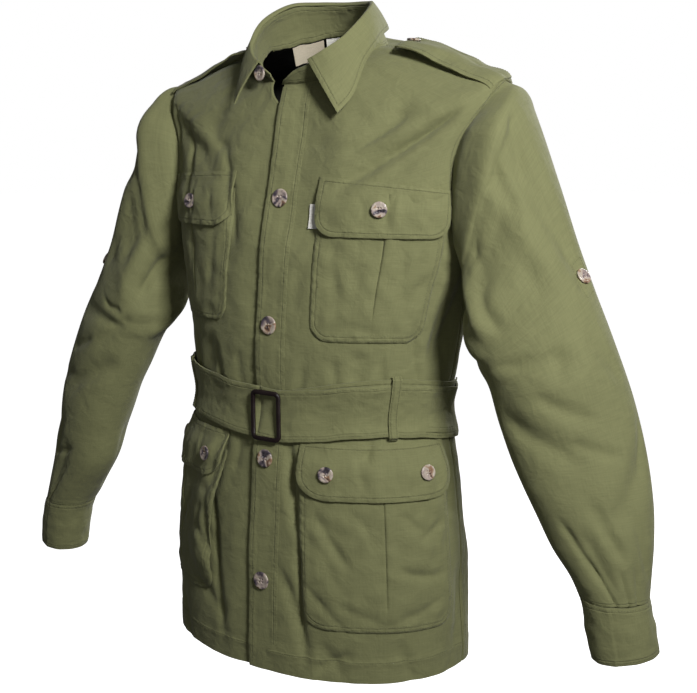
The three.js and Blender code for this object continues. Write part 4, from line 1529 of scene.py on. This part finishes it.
def buckle_mesh():
    """Buckle: a rounded section, flattened above, carried round a rectangle with round corners."""
    s = BUCKLE_SIZE
    c = s["corner"]
    inner = c - s["bar"]
    centres = (
        (s["right"] - c, s["high"] - c, 0),
        (s["left"] + c, s["high"] - c, 90),
        (s["left"] + c, s["low"] + c, 180),
        (s["right"] - c, s["low"] + c, 270),
    )
    x, z, dx, dz = [], [], [], []
    for cx, cz, start in centres:
        a = np.radians(start + np.linspace(0, 90, 9))
        x.append(cx + inner * np.cos(a))
        z.append(cz + inner * np.sin(a))
        dx.append(np.cos(a))
        dz.append(np.sin(a))
    x, z, dx, dz = (np.concatenate(part) for part in (x, z, dx, dz))
    angle = np.linspace(0, TURN, 20, endpoint=False)[:, None]
    wide = signed_power(np.cos(angle), s["power"]) * s["bar"]
    deep = signed_power(np.sin(angle), s["power"]) * s["deep"]
    phi = phi_at(x + s["skew"] * ((s["low"] + s["high"]) / 2 - z), z)
    level = level_of(phi, z)
    out = outward(phi, level)
    base = body(phi, level) + out * (BELT_OUT + 5.4)
    across = vec(dx, 0 * dx, dz)
    points = base[None] + across[None] * wide[..., None] + out[None] * deep[..., None]
    rows, columns = points.shape[:2]
    ids = np.arange(rows * columns).reshape(rows, columns)
    up = np.roll(ids, -1, 0)
    faces = np.stack([ids, up, np.roll(up, -1, 1), np.roll(ids, -1, 1)], -1).reshape(-1, 4)
    return fill("belt_buckle", points.reshape(-1, 3), [faces])


def epaulette(side):
    """Shoulder strap: sewn in at the sleeve, lifting off the shoulder, its front edge raised, with a
    blunt point at the neck."""
    s = np.concatenate([np.linspace(0, 1, 14)[:-1], np.linspace(1, 5, 34)])
    level = np.interp(s, range(6), (-57, -63, -73, -84, -96, -111))[:, None]
    half = np.interp(s, (0, 0.25, 0.6, 1, 5), (12, 17, 20.5, 22.5, 24.5))[:, None]
    t = np.linspace(-1, 1, 27)[None, :]
    y = t * half
    middle = read(RINGS, level, 4)
    depth = np.where(y < middle, read(RINGS, level, 2), read(RINGS, level, 3))
    phi = side * np.degrees(np.arccos(np.clip((middle - y) / depth, -1, 1)))
    peak = np.sin(math.pi * np.minimum(s + 0.5, 5) / 5.1) * (1 - 0.45 * smooth((s - 2) / 2.5))
    front = 5 * smooth((2.9 - s) / 1.5) * smooth(s / 0.8)
    rise = (8 if side > 0 else 6) * peak[:, None] + np.where(t < 0, t * t, 0) * front[:, None]
    wave = 0.8 * uneven(y, s[:, None] * 25, 30, 51 + side)
    level2 = np.broadcast_to(level, phi.shape)
    points = on(phi, level2, 2.2 - 0.7 * smooth(s - 4)[:, None] + rise + wave)
    surface = Surface(points, outward(phi, level2), 1.5)
    return surface, from_edges(points, ("first", "last", "low"))


def hung_label(first, last, drop):
    """Label sewn in the neck seam at the back and hanging inside it, curling in a little."""
    phi = np.linspace(first, last, 24)
    level = np.full(phi.shape, NECK - 2)
    top = on(phi, level, -1.4)
    out = unit(outward(phi, level) * np.array([1, 1, 0]))
    t = np.linspace(0, 1, 12)[:, None, None]
    points = top + np.array([0, 0, -drop]) * t - out * (4 * t + 0.3)
    return Surface(points, -np.broadcast_to(out, points.shape), 0.7)


def pocket_tag():
    """Tag sewn in beside the left breast pocket, lifting off the body towards its free end."""
    z = np.linspace(-171, -197, 12)[:, None]
    x = np.linspace(41, 51.6, 8)
    zz = z + 0 * x
    phi = phi_at(x + 0 * z, zz)
    level = level_of(phi, zz)
    points = on(phi, level, 1.6 + 0.8 * (1 - (x - 41) / 10.6) + 0 * z)
    return Surface(points, outward(phi, level), 0.8)


# Profile of a button's front and back: share of its radius, height in millimetres
BUTTON_FRONT = (
    (0.01, 1.0),
    (0.12, 1.0),
    (0.2, 1.0),
    (0.26, 1.0),
    (0.32, 1.0),
    (0.38, 1.0),
    (0.46, 1.0),
    (0.56, 1.05),
    (0.66, 1.2),
    (0.74, 1.42),
)
BUTTON_BACK = (
    (0.82, 1.5),
    (0.9, 1.42),
    (0.96, 1.15),
    (1.0, 0.7),
    (1.0, 0.1),
    (0.94, -0.9),
    (0.7, -1.3),
    (0.3, -1.4),
    (0.01, -1.4),
)
BUTTON_HOLE = 0.17


def button_mesh(name, point, out, radius):
    """Button: a profile of raised rim and dished middle turned about its axis, its front pressed in at
    four holes that stand in a square."""
    r, h = np.array(BUTTON_FRONT + BUTTON_BACK).T
    a = np.linspace(0, TURN, 48, endpoint=False)
    side = unit(np.cross(out, np.array([0.0, 0.0, 1.0])))
    other = np.cross(out, side)
    u = r[:, None] * np.cos(a) * radius
    v = r[:, None] * np.sin(a) * radius
    lift = np.broadcast_to(h[:, None], u.shape)
    hole = np.hypot(np.abs(u) - BUTTON_HOLE * radius, np.abs(v) - BUTTON_HOLE * radius)
    front = (np.arange(len(r)) < len(BUTTON_FRONT))[:, None]
    lift = np.where(front, lift - 1.6 * smooth((1.3 - hole) / 0.7), lift)
    grid = point + u[..., None] * side + v[..., None] * other + lift[..., None] * out
    ids = np.arange(u.size).reshape(u.shape)
    over = np.roll(ids, -1, 1)
    quads = np.stack([ids[:-1], ids[1:], over[1:], over[:-1]], -1).reshape(-1, 4)
    return fill(name, grid.reshape(-1, 3), [quads])


def spindles(centre, along, out, long_, thick):
    """Stitches: each a spindle of two pointed ends and two square rings, sunk at its ends."""
    side = unit(np.cross(along, out))
    ends = [(-0.5, 0, -0.45), (0.5, 0, -0.45)]
    ring = [(0.5, 0.0), (0.0, 0.5), (-0.5, 0.0), (0.0, -0.5)]
    shape = [ends[0]]
    shape += [(-0.28, w, h) for w, h in ring]
    shape += [(0.28, w, h) for w, h in ring]
    shape.append(ends[1])
    shape = np.array(shape)
    points = (
        centre[:, None]
        + along[:, None] * shape[None, :, :1] * long_
        + side[:, None] * shape[None, :, 1:2] * thick
        + out[:, None] * shape[None, :, 2:] * thick
    )
    quads = np.array([[1 + k, 1 + (k + 1) % 4, 5 + (k + 1) % 4, 5 + k] for k in range(4)])
    first = [[0, 1 + (k + 1) % 4, 1 + k] for k in range(4)]
    second = [[9, 5 + k, 5 + (k + 1) % 4] for k in range(4)]
    tips = np.array(first + second)
    start = (np.arange(len(centre)) * len(shape))[:, None, None]
    quads = (quads[None] + start).reshape(-1, 4)
    return points.reshape(-1, 3), quads, (tips[None] + start).reshape(-1, 3)


def along_line(points, out, pitch):
    """Places a pitch apart along a line of points, each with its direction along and out."""
    length = np.concatenate([[0], np.cumsum(np.linalg.norm(np.diff(points, axis=0), axis=-1))])
    count = max(1, int(length[-1] / pitch))
    s = (np.arange(count) + 0.5) * length[-1] / count

    def read_at(values, where):
        return np.stack([np.interp(where, length, values[:, c]) for c in range(3)], axis=1)

    along = unit(read_at(points, s + 0.6) - read_at(points, s - 0.6))
    return read_at(points, s), along, unit(read_at(out, s))


def stitch_mesh(name, lines, pitch=3.0, long_=2.3, thick=0.45):
    """Mesh of the stitches along several lines, each a pair of points and directions out."""
    vertices = []
    quads = []
    tips = []
    start = 0
    for points, out in lines:
        centre, along, normal = along_line(points, out, pitch)
        v, q, t = spindles(centre, along, normal, long_, thick)
        vertices.append(v)
        quads.append(q + start)
        tips.append(t + start)
        start += len(v)
    return fill(name, np.concatenate(vertices), [np.concatenate(quads), np.concatenate(tips)])


def edge_lines(name, insets, cut=(0.0, 1.0)):
    """Lines along a piece at distances from its first column, then from its last."""
    return [column_line(name, inset, last, cut) for last in (False, True) for inset in insets]


def band_lines(name):
    """Lines across a band near its upper edge and its lower one."""
    return [row_line(name, BAND_STITCH, high) for high in (True, False)]


def row_line(name, inset, high=True, cut=(0.0, 1.0)):
    """Line across a piece at a distance from its upper or lower edge."""
    surface = SURFACES[name]
    along = arc(surface.points, 0)
    rows, columns = surface.points.shape[:2]
    j = np.linspace(cut[0] * (columns - 1), cut[1] * (columns - 1), columns * 2)
    if surface.closed:
        j = np.linspace(0, columns, columns * 2)
    i = []
    for column in np.clip(np.round(j).astype(int) % columns, 0, columns - 1):
        length = along[:, column]
        target = length[-1] - inset if high else inset
        i.append(np.interp(target, length, np.arange(rows)))
    i = np.convolve(np.pad(i, 3, mode="edge"), np.full(7, 1 / 7), mode="valid")
    return surface.at(np.array(i), j, STITCH_LIFT)


def column_line(name, inset, last=True, cut=(0.0, 1.0)):
    """Line along a piece at a distance from its first or last column."""
    surface = SURFACES[name]
    across = arc(surface.points, 1)
    rows, columns = surface.points.shape[:2]
    i = np.linspace(cut[0] * (rows - 1), cut[1] * (rows - 1), rows * 2)
    j = []
    for row in np.clip(np.round(i).astype(int), 0, rows - 1):
        length = across[row]
        target = length[-1] - inset if last else inset
        j.append(np.interp(target, length, np.arange(columns)))
    return surface.at(i, np.array(j), STITCH_LIFT)


class JacketCloth(bpy.types.PropertyGroup):
    olive: bpy.props.FloatVectorProperty(
        name="Olive",
        description="Colour of the cloth",
        subtype="COLOR",
        min=0.0,
        max=1.0,
        default=(0.215, 0.22, 0.100),
    )
    # Near black: painted shade for the hollow inside the jacket, not the cloth's own colour.
    inside: bpy.props.FloatVectorProperty(
        name="Inside",
        description="Colour of the wrong side of the body's cloth",
        subtype="COLOR",
        min=0.0,
        max=1.0,
        default=(0.012, 0.012, 0.009),
    )
    thread: bpy.props.FloatVectorProperty(
        name="Thread",
        description="Colour of the sewing thread",
        subtype="COLOR",
        min=0.0,
        max=1.0,
        default=(0.12, 0.122, 0.058),
    )
    creases: bpy.props.FloatProperty(
        name="Creases",
        description="Strength of the lesser creases, beside the large folds",
        subtype="FACTOR",
        min=0.0,
        max=2.0,
        default=1.0,
    )


class JacketTrim(bpy.types.PropertyGroup):
    button: bpy.props.FloatProperty(
        name="Front button",
        description="Radius of a front button",
        subtype="DISTANCE",
        unit="LENGTH",
        min=0.006,
        max=0.014,
        default=0.010,
    )
    buckle: bpy.props.FloatVectorProperty(
        name="Buckle",
        description="Colour of the buckle",
        subtype="COLOR",
        min=0.0,
        max=1.0,
        default=(0.012, 0.006, 0.006),
    )
    label: bpy.props.FloatVectorProperty(
        name="Neck label",
        description="Colour of the label in the neck",
        subtype="COLOR",
        min=0.0,
        max=1.0,
        default=(0.50, 0.44, 0.33),
    )


class JacketStage(bpy.types.PropertyGroup):
    key: bpy.props.FloatProperty(
        name="Key light",
        description="Power of the main light at the front; the light behind follows it",
        unit="POWER",
        min=0.0,
        default=10.4,
    )
    fill: bpy.props.FloatProperty(
        name="Fill light",
        description="Power that the softer lights above, in front and on the far side share out",
        unit="POWER",
        min=0.0,
        default=3.0,
    )
    drop: bpy.props.FloatProperty(
        name="Floor drop",
        description="How far the floor lies below the neck",
        subtype="DISTANCE",
        unit="LENGTH",
        min=0.8,
        max=2.0,
        default=1.45,
    )


class JACKET_OT_body(bpy.types.Operator):
    """Makes both fronts, the back and the placket"""

    bl_idname = "jacket.body"
    bl_label = "Fronts, back and placket"

    def execute(self, context):
        for name, make in (
            ("front_left", front_left),
            ("front_right", front_right),
            ("back", back_panel),
        ):
            surface, edge = make()
            # Inner faces near black: painted shade of the hollow inside.
            sew(name + "_cloth", surface, [name], edge, PAINTED_SHADE_LOOK)
        surface, edge = placket()
        sew("placket_band", surface, ["placket"], edge)
        return {"FINISHED"}


class JACKET_OT_sleeves(bpy.types.Operator):
    """Makes both sleeves with their cuffs"""

    bl_idname = "jacket.sleeves"
    bl_label = "Sleeves and cuffs"

    def execute(self, context):
        for name, side, table, creases in (
            ("left", 1, SLEEVE_LEFT, LEFT_CREASES),
            ("right", -1, SLEEVE_RIGHT, RIGHT_CREASES),
        ):
            surface, edge = sleeve(side, table, creases)
            sleeve_name = "sleeve_" + name + "_cloth"
            sew(sleeve_name, surface, ["sleeve_" + name], edge)
            surface, edge = cuff(side, table)
            sew("cuff_" + name + "_band", surface, ["cuff_" + name], edge)
        return {"FINISHED"}


class JACKET_OT_collar(bpy.types.Operator):
    """Makes the collar's stand and its leaf"""

    bl_idname = "jacket.collar"
    bl_label = "Collar"

    def execute(self, context):
        surface, edge = collar_stand()
        sew("collar_stand_band", surface, ["collar_stand"], edge)
        surface, edge = collar_leaf()
        sew(
            "collar_leaf_cloth", surface, ["collar_leaf"], edge,
        )
        return {"FINISHED"}


class JACKET_OT_pockets(bpy.types.Operator):
    """Makes the four patch pockets with their flaps"""

    bl_idname = "jacket.pockets"
    bl_label = "Pockets and flaps"

    def execute(self, context):
        for kind, name, side, inner, low, outer, top, foot, flap, flap_outer, flap_foot, off in POCKETS:
            bag = kind + "_bag_" + name
            patch, surface, edge = pocket_bag(kind, side, inner, low, outer, top, foot, off)
            PATCHES[bag] = patch
            sew(bag + "_cloth", surface, [bag], edge)
            cover = kind + "_flap_" + name
            patch, surface, edge = pocket_flap(
                kind, side, inner, low, outer, flap, flap_outer, flap_foot, off
            )
            PATCHES[cover] = patch
            sew(cover + "_cloth", surface, [cover], edge)
        return {"FINISHED"}


class JACKET_OT_belt(bpy.types.Operator):
    """Makes the belt with its tip, loops and buckle"""

    bl_idname = "jacket.belt"
    bl_label = "Belt, loops and buckle"

    def execute(self, context):
        surface, edge = belt_band()
        sew("belt_band", surface, ["belt"], edge)
        surface, edge = belt_tip()
        sew("belt_end", surface, ["belt_tip"], edge)
        for name, phi, up in (("left", 53.5, 5), ("right", -53.5, 0), ("back", 180, 0)):
            surface, edge = belt_loop(phi, up)
            sew("loop_" + name, surface, ["belt_loop_" + name], edge)
        place(buckle_mesh(), "buckle_brown", ["buckle"], finish("buckle"))
        return {"FINISHED"}


class JACKET_OT_straps(bpy.types.Operator):
    """Makes the two shoulder straps"""

    bl_idname = "jacket.straps"
    bl_label = "Shoulder straps"

    def execute(self, context):
        for name, side in (("left", 1), ("right", -1)):
            surface, edge = epaulette(side)
            sew("strap_" + name, surface, ["epaulette_" + name], edge)
        return {"FINISHED"}


class JACKET_OT_labels(bpy.types.Operator):
    """Makes the bare labels in the neck and the tag at the breast pocket"""

    bl_idname = "jacket.labels"
    bl_label = "Labels"

    def execute(self, context):
        for name, surface, node, look, under in (
            ("label_neck", hung_label(208.5, 240, 21), "neck_label", NECK_LOOK, "back_cloth"),
            ("label_size", hung_label(188, 206, 14), "size_label", WHITE_LOOK, "back_cloth"),
            ("label_pocket", pocket_tag(), "pocket_tag", WHITE_LOOK, "front_left_cloth"),
        ):
            sew(name, surface, [node], None, look)
        return {"FINISHED"}


# Buttons: heights and x of the front ones; name, flap, angle and height of the flaps' ones; side,
# angle and place along of the sleeves' ones; row and column of the straps' ones
FRONT_BUTTONS = (-166, -302.5, -449, -586)
FRONT_BUTTON_X = 3.0
FLAP_BUTTONS = (
    ("breast_left", "breast_flap_left", 36, -176),
    ("breast_right", "breast_flap_right", -38.5, -175),
    ("lower_left_1", "lower_flap_left", 24.5, -457),
    ("lower_left_2", "lower_flap_left", 68, -457),
    ("lower_right_1", "lower_flap_right", -25, -457),
    ("lower_right_2", "lower_flap_right", -71, -457),
)
SLEEVE_BUTTONS = (("left", 30, 3.04), ("right", 45, 3.2))
STRAP_BUTTON_AT = (13.0, 13.0)


class JACKET_OT_buttons(bpy.types.Operator):
    """Makes the horn buttons on the front, pockets, collar, sleeves and straps"""

    bl_idname = "jacket.buttons"
    bl_label = "Buttons"

    def execute(self, context):
        radius = context.scene.jacket_trim.button / MM
        half = BUTTON_HEIGHT / 2
        for k, z in enumerate(FRONT_BUTTONS):
            z = np.array([float(z)])
            phi = phi_at(FRONT_BUTTON_X, z)
            level = level_of(phi, z)
            out = outward(phi, level)[0]
            point = on(phi, level, LAYER + WALL / 2 + half + 0.2)[0]
            self.add("front_%d" % (k + 1), point, out, radius)
        for name, cover, phi, z in FLAP_BUTTONS:
            patch = PATCHES[cover]
            ends = [patch.angle(0.0, float(z)), patch.angle(1.0, float(z))]
            x = patch.wide * (phi - ends[0]) / (ends[1] - ends[0])
            top = lerp(patch.top, patch.top_outer, x / patch.wide)
            y = patch.tall * (z - patch.foot) / (top - patch.foot)
            point, out = patch.at(np.array([x]), np.array([y]), half + 0.1)
            self.add(name, point[0], out[0], SMALL_BUTTON)
        phi = np.array([-29.0])
        seam = on(phi, np.array([NECK]))
        out = np.array([-0.22, -0.975, 0.0])
        face = lerp(seam, stand_top(np.array([329.0])), 0.40)[0] + out * (6.4 + 2.5)
        self.add("stand", face, out, SMALL_BUTTON)
        for name, angle, row in SLEEVE_BUTTONS:
            point, out = sleeve_spot(name, np.array([angle]), np.array([row]), half + 0.1)
            self.add("sleeve_" + name, point[0], out[0], SMALL_BUTTON)
            row, column = np.array(STRAP_BUTTON_AT)[:, None]
            point, out = SURFACES["strap_" + name].at(row, column, half + 0.1)
            self.add("epaulette_" + name, point[0], out[0], STRAP_BUTTON)
        return {"FINISHED"}

    def add(self, name, point, out, radius):
        """One button, standing for its solid."""
        mesh = button_mesh("horn_" + name, point, out, radius)
        place(mesh, "button_horn", ["button_" + name], finish("horn"))


# Stitched lines of a pocket: part, distances in from its outline, whether the line closes on top
POCKET_STITCHES = (("_bag_", (1.8, 7.0), False), ("_flap_", (STITCH_IN,), True))

# Corners of the square stitched round a sleeve's button: degrees and places away from it
TAB_ANGLES = (-9.5, 9.5, 9.5, -9.5, -9.5)
TAB_PLACES = (-0.24, -0.24, 0.27, 0.27, -0.24)


class JACKET_OT_stitching(bpy.types.Operator):
    """Makes the stitches along seams, edges, pockets and bands"""

    bl_idname = "jacket.stitching"
    bl_label = "Stitching"

    def execute(self, context):
        panels = ("front_left_cloth", "front_right_cloth", "back_cloth")
        body_lines = [row_line(name, HEM_STITCH, high=False) for name in panels]
        body_lines += edge_lines("back_cloth", SEAM_LINES)
        for name in panels[:2]:
            body_lines.append(column_line(name, STITCH_IN, cut=(0.72, 0.93)))
        seams = {"stitches_body": body_lines}
        seams["stitches_placket"] = [
            column_line("placket_band", STITCH_IN, last=False),
            column_line("placket_band", NARROW_STITCH),
        ]
        seams["stitches_collar"] = [
            row_line("collar_leaf_cloth", STITCH_IN, cut=(0.03, 0.97)),
            *edge_lines("collar_leaf_cloth", [STITCH_IN], (0.25, 0.92)),
            row_line("collar_stand_band", BAND_STITCH, high=False),
        ]
        for kind, name, *_ in POCKETS:
            lines = []
            for part, insets, closed_top in POCKET_STITCHES:
                patch = PATCHES[kind + part + name]
                for inset in insets:
                    x, y = patch.outline(inset, closed_top)
                    t = np.concatenate([[0], np.cumsum(np.hypot(np.diff(x), np.diff(y)))])
                    dense = np.linspace(0, t[-1], 400)
                    x = np.interp(dense, t, x)
                    lines.append(patch.at(x, np.interp(dense, t, y), STITCH_LIFT))
            seams["stitches_" + kind + "_" + name] = lines
        belt_lines = band_lines("belt_band")
        for name in ("left", "right", "back"):
            belt_lines += edge_lines("loop_" + name, [NARROW_STITCH])
        seams["stitches_belt"] = belt_lines
        strap_lines = []
        for name in ("left", "right"):
            strap_lines += edge_lines("strap_" + name, [STITCH_IN], (0.1, 1))
            strap_lines.append(row_line("strap_" + name, STITCH_IN, high=False, cut=(0.15, 0.85)))
            strap_lines += band_lines("cuff_" + name + "_band")
        seams["stitches_straps_cuffs"] = strap_lines
        corners = range(len(TAB_ANGLES))
        t = np.linspace(0, corners[-1], 161)
        across = np.interp(t, corners, TAB_ANGLES)
        along = np.interp(t, corners, TAB_PLACES)
        seams["stitches_tabs"] = [
            sleeve_spot(name, angle + across, row + along, STITCH_LIFT)
            for name, angle, row in SLEEVE_BUTTONS
        ]
        for name, lines in seams.items():
            place(stitch_mesh(name, lines), "cloth", [], finish("thread"))
        return {"FINISHED"}


CAMERA_AIM = (0.0, 0.0, -0.340)
CAMERA_TURN = 33.0
CAMERA_RISE = 10.0
CAMERA_AWAY = 1.450
CAMERA_LENS = 63.8
CAMERA_SHIFT = (0.0237, -0.0065)

# Lights: name, place, point it faces, width, property its power comes from, share of that power
LIGHTS = (
    ("key", (1.44, -0.93, 0.66), (0.05, 0.0, -0.08), 0.4, "key", 1.0),
    ("top", (-0.4, -1.4, 1.9), (0.0, 0.0, -0.2), 1.2, "fill", 0.25),
    ("fill", (-2.2, -1.8, 0.4), (0.0, 0.0, -0.2), 1.4, "fill", 0.45),
    ("rear", (0.3, 3.0, 0.9), (0.0, 0.0, -0.3), 1.4, "key", 6.3),
    ("front", (1.2, -2.2, -0.2), (0.1, 0.0, -0.3), 1.0, "fill", 1.0),
)
FULL_SPREAD = 180.0
KEY_SPREAD = 100.0
SURROUND_GLOW = 0.055
FLOOR_RADIUS = 24000.0
FLOOR_CORNERS = 96
WHITE = (1.0, 1.0, 1.0, 1.0)


class JACKET_OT_stage(bpy.types.Operator):
    """Makes the floor, the lights, the pale surround and the camera"""

    bl_idname = "jacket.stage"
    bl_label = "Stage"

    def execute(self, context):
        scene = context.scene
        stage = scene.jacket_stage
        self.floor(stage.drop)
        self.surround(scene)
        for name, where, aim, size, source, share in LIGHTS:
            spread = KEY_SPREAD if name == "key" else FULL_SPREAD
            self.light(name, where, aim, size, getattr(stage, source) * share, spread)
        self.camera(scene)
        scene.view_settings.view_transform = "Standard"
        return {"FINISHED"}

    def floor(self, drop):
        """Plain pale floor: one wide disc that glows white and lights nothing."""
        a = np.linspace(0, TURN, FLOOR_CORNERS, endpoint=False)
        vertices = vec(FLOOR_RADIUS * np.cos(a), FLOOR_RADIUS * np.sin(a), -drop / MM)
        mesh = fill("floor", vertices, [np.arange(FLOOR_CORNERS)[None, :]], False)
        floor = bpy.data.objects.new("floor", mesh)
        bpy.context.scene.collection.objects.link(floor)
        material, tree, shader = start_material("pale_floor")
        grain = noise(tree, object_place(tree), scale=3, detail=2)
        factor = calc(tree, "MULTIPLY_ADD", grain, 0.02, 0.98)
        finish_with(
            tree, shader, (0.9, 0.9, 0.89, 1), factor, 0.9,
            Emission_Color=WHITE, Emission_Strength=1.0,
        )
        mesh.materials.append(material)
        floor.visible_diffuse = False
        floor.visible_glossy = False

    def surround(self, scene):
        """Even pale surround: white to the camera, and a dim glow on the jacket."""
        world = bpy.data.worlds.new("surround")
        world.use_nodes = True
        tree = world.node_tree
        background = tree.nodes["Background"]
        background.inputs["Color"].default_value = (1.0, 1.0, 0.99, 1.0)
        background.inputs["Strength"].default_value = SURROUND_GLOW
        shown = tree.nodes.new("ShaderNodeBackground")
        shown.inputs["Color"].default_value = WHITE
        shown.inputs["Strength"].default_value = 1.0
        path = tree.nodes.new("ShaderNodeLightPath")
        mix = tree.nodes.new("ShaderNodeMixShader")
        tree.links.new(path.outputs["Is Camera Ray"], mix.inputs[0])
        tree.links.new(background.outputs[0], mix.inputs[1])
        tree.links.new(shown.outputs[0], mix.inputs[2])
        tree.links.new(mix.outputs[0], tree.nodes["World Output"].inputs["Surface"])
        scene.world = world

    def light(self, name, where, aim, size, power, spread):
        """Square soft light that faces a point; a smaller spread keeps its light closer to that line."""
        data = bpy.data.lights.new(name, "AREA")
        data.shape = "SQUARE"
        data.size = size
        data.energy = power
        data.spread = math.radians(spread)
        made = bpy.data.objects.new(name, data)
        made.location = where
        made.rotation_euler = (Vector(aim) - Vector(where)).to_track_quat("-Z", "Y").to_euler()
        bpy.context.scene.collection.objects.link(made)

    def camera(self, scene):
        """Camera at the photograph's angle, a little to the side of the middle by its shift."""
        turn = math.radians(CAMERA_TURN)
        rise = math.radians(CAMERA_RISE)
        level = math.cos(rise)
        back = Vector((math.sin(turn) * level, -math.cos(turn) * level, math.sin(rise)))
        data = bpy.data.cameras.new("camera")
        data.sensor_width = 36.0
        data.lens = CAMERA_LENS
        data.shift_x, data.shift_y = CAMERA_SHIFT
        made = bpy.data.objects.new("camera", data)
        made.location = Vector(CAMERA_AIM) + back * CAMERA_AWAY
        made.rotation_euler = (-back).to_track_quat("-Z", "Y").to_euler()
        scene.collection.objects.link(made)
        scene.camera = made


class JACKET_PT_panel(bpy.types.Panel):
    """Lists the steps of the jacket in order"""

    bl_idname = "JACKET_PT_panel"
    bl_label = "Safari jacket"
    bl_space_type = "VIEW_3D"
    bl_region_type = "UI"
    bl_category = "Jacket"

    def draw(self, context):
        scene = context.scene
        for group in (scene.jacket_cloth, scene.jacket_trim, scene.jacket_stage):
            for key in group.bl_rna.properties.keys():
                if key not in ("name", "rna_type"):
                    self.layout.prop(group, key)
        for operator in OPERATORS:
            self.layout.operator(operator.bl_idname)


GROUPS = (("jacket_cloth", JacketCloth), ("jacket_trim", JacketTrim), ("jacket_stage", JacketStage))
OPERATORS = (
    JACKET_OT_body,
    JACKET_OT_sleeves,
    JACKET_OT_collar,
    JACKET_OT_pockets,
    JACKET_OT_belt,
    JACKET_OT_straps,
    JACKET_OT_labels,
    JACKET_OT_buttons,
    JACKET_OT_stitching,
    JACKET_OT_stage,
)


def register():
    for name, group in GROUPS:
        bpy.utils.register_class(group)
        setattr(bpy.types.Scene, name, bpy.props.PointerProperty(type=group))
    for made in (*OPERATORS, JACKET_PT_panel):
        bpy.utils.register_class(made)


def unregister():
    for made in (JACKET_PT_panel, *reversed(OPERATORS)):
        bpy.utils.unregister_class(made)
    for name, group in reversed(GROUPS):
        delattr(bpy.types.Scene, name)
        bpy.utils.unregister_class(group)


def main():
    """Registers everything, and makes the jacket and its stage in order."""
    register()
    bpy.ops.jacket.body()
    bpy.ops.jacket.sleeves()
    bpy.ops.jacket.collar()
    bpy.ops.jacket.pockets()
    bpy.ops.jacket.belt()
    bpy.ops.jacket.straps()
    bpy.ops.jacket.labels()
    bpy.ops.jacket.buttons()
    bpy.ops.jacket.stitching()
    bpy.ops.jacket.stage()


if __name__ == "__main__":
    main()
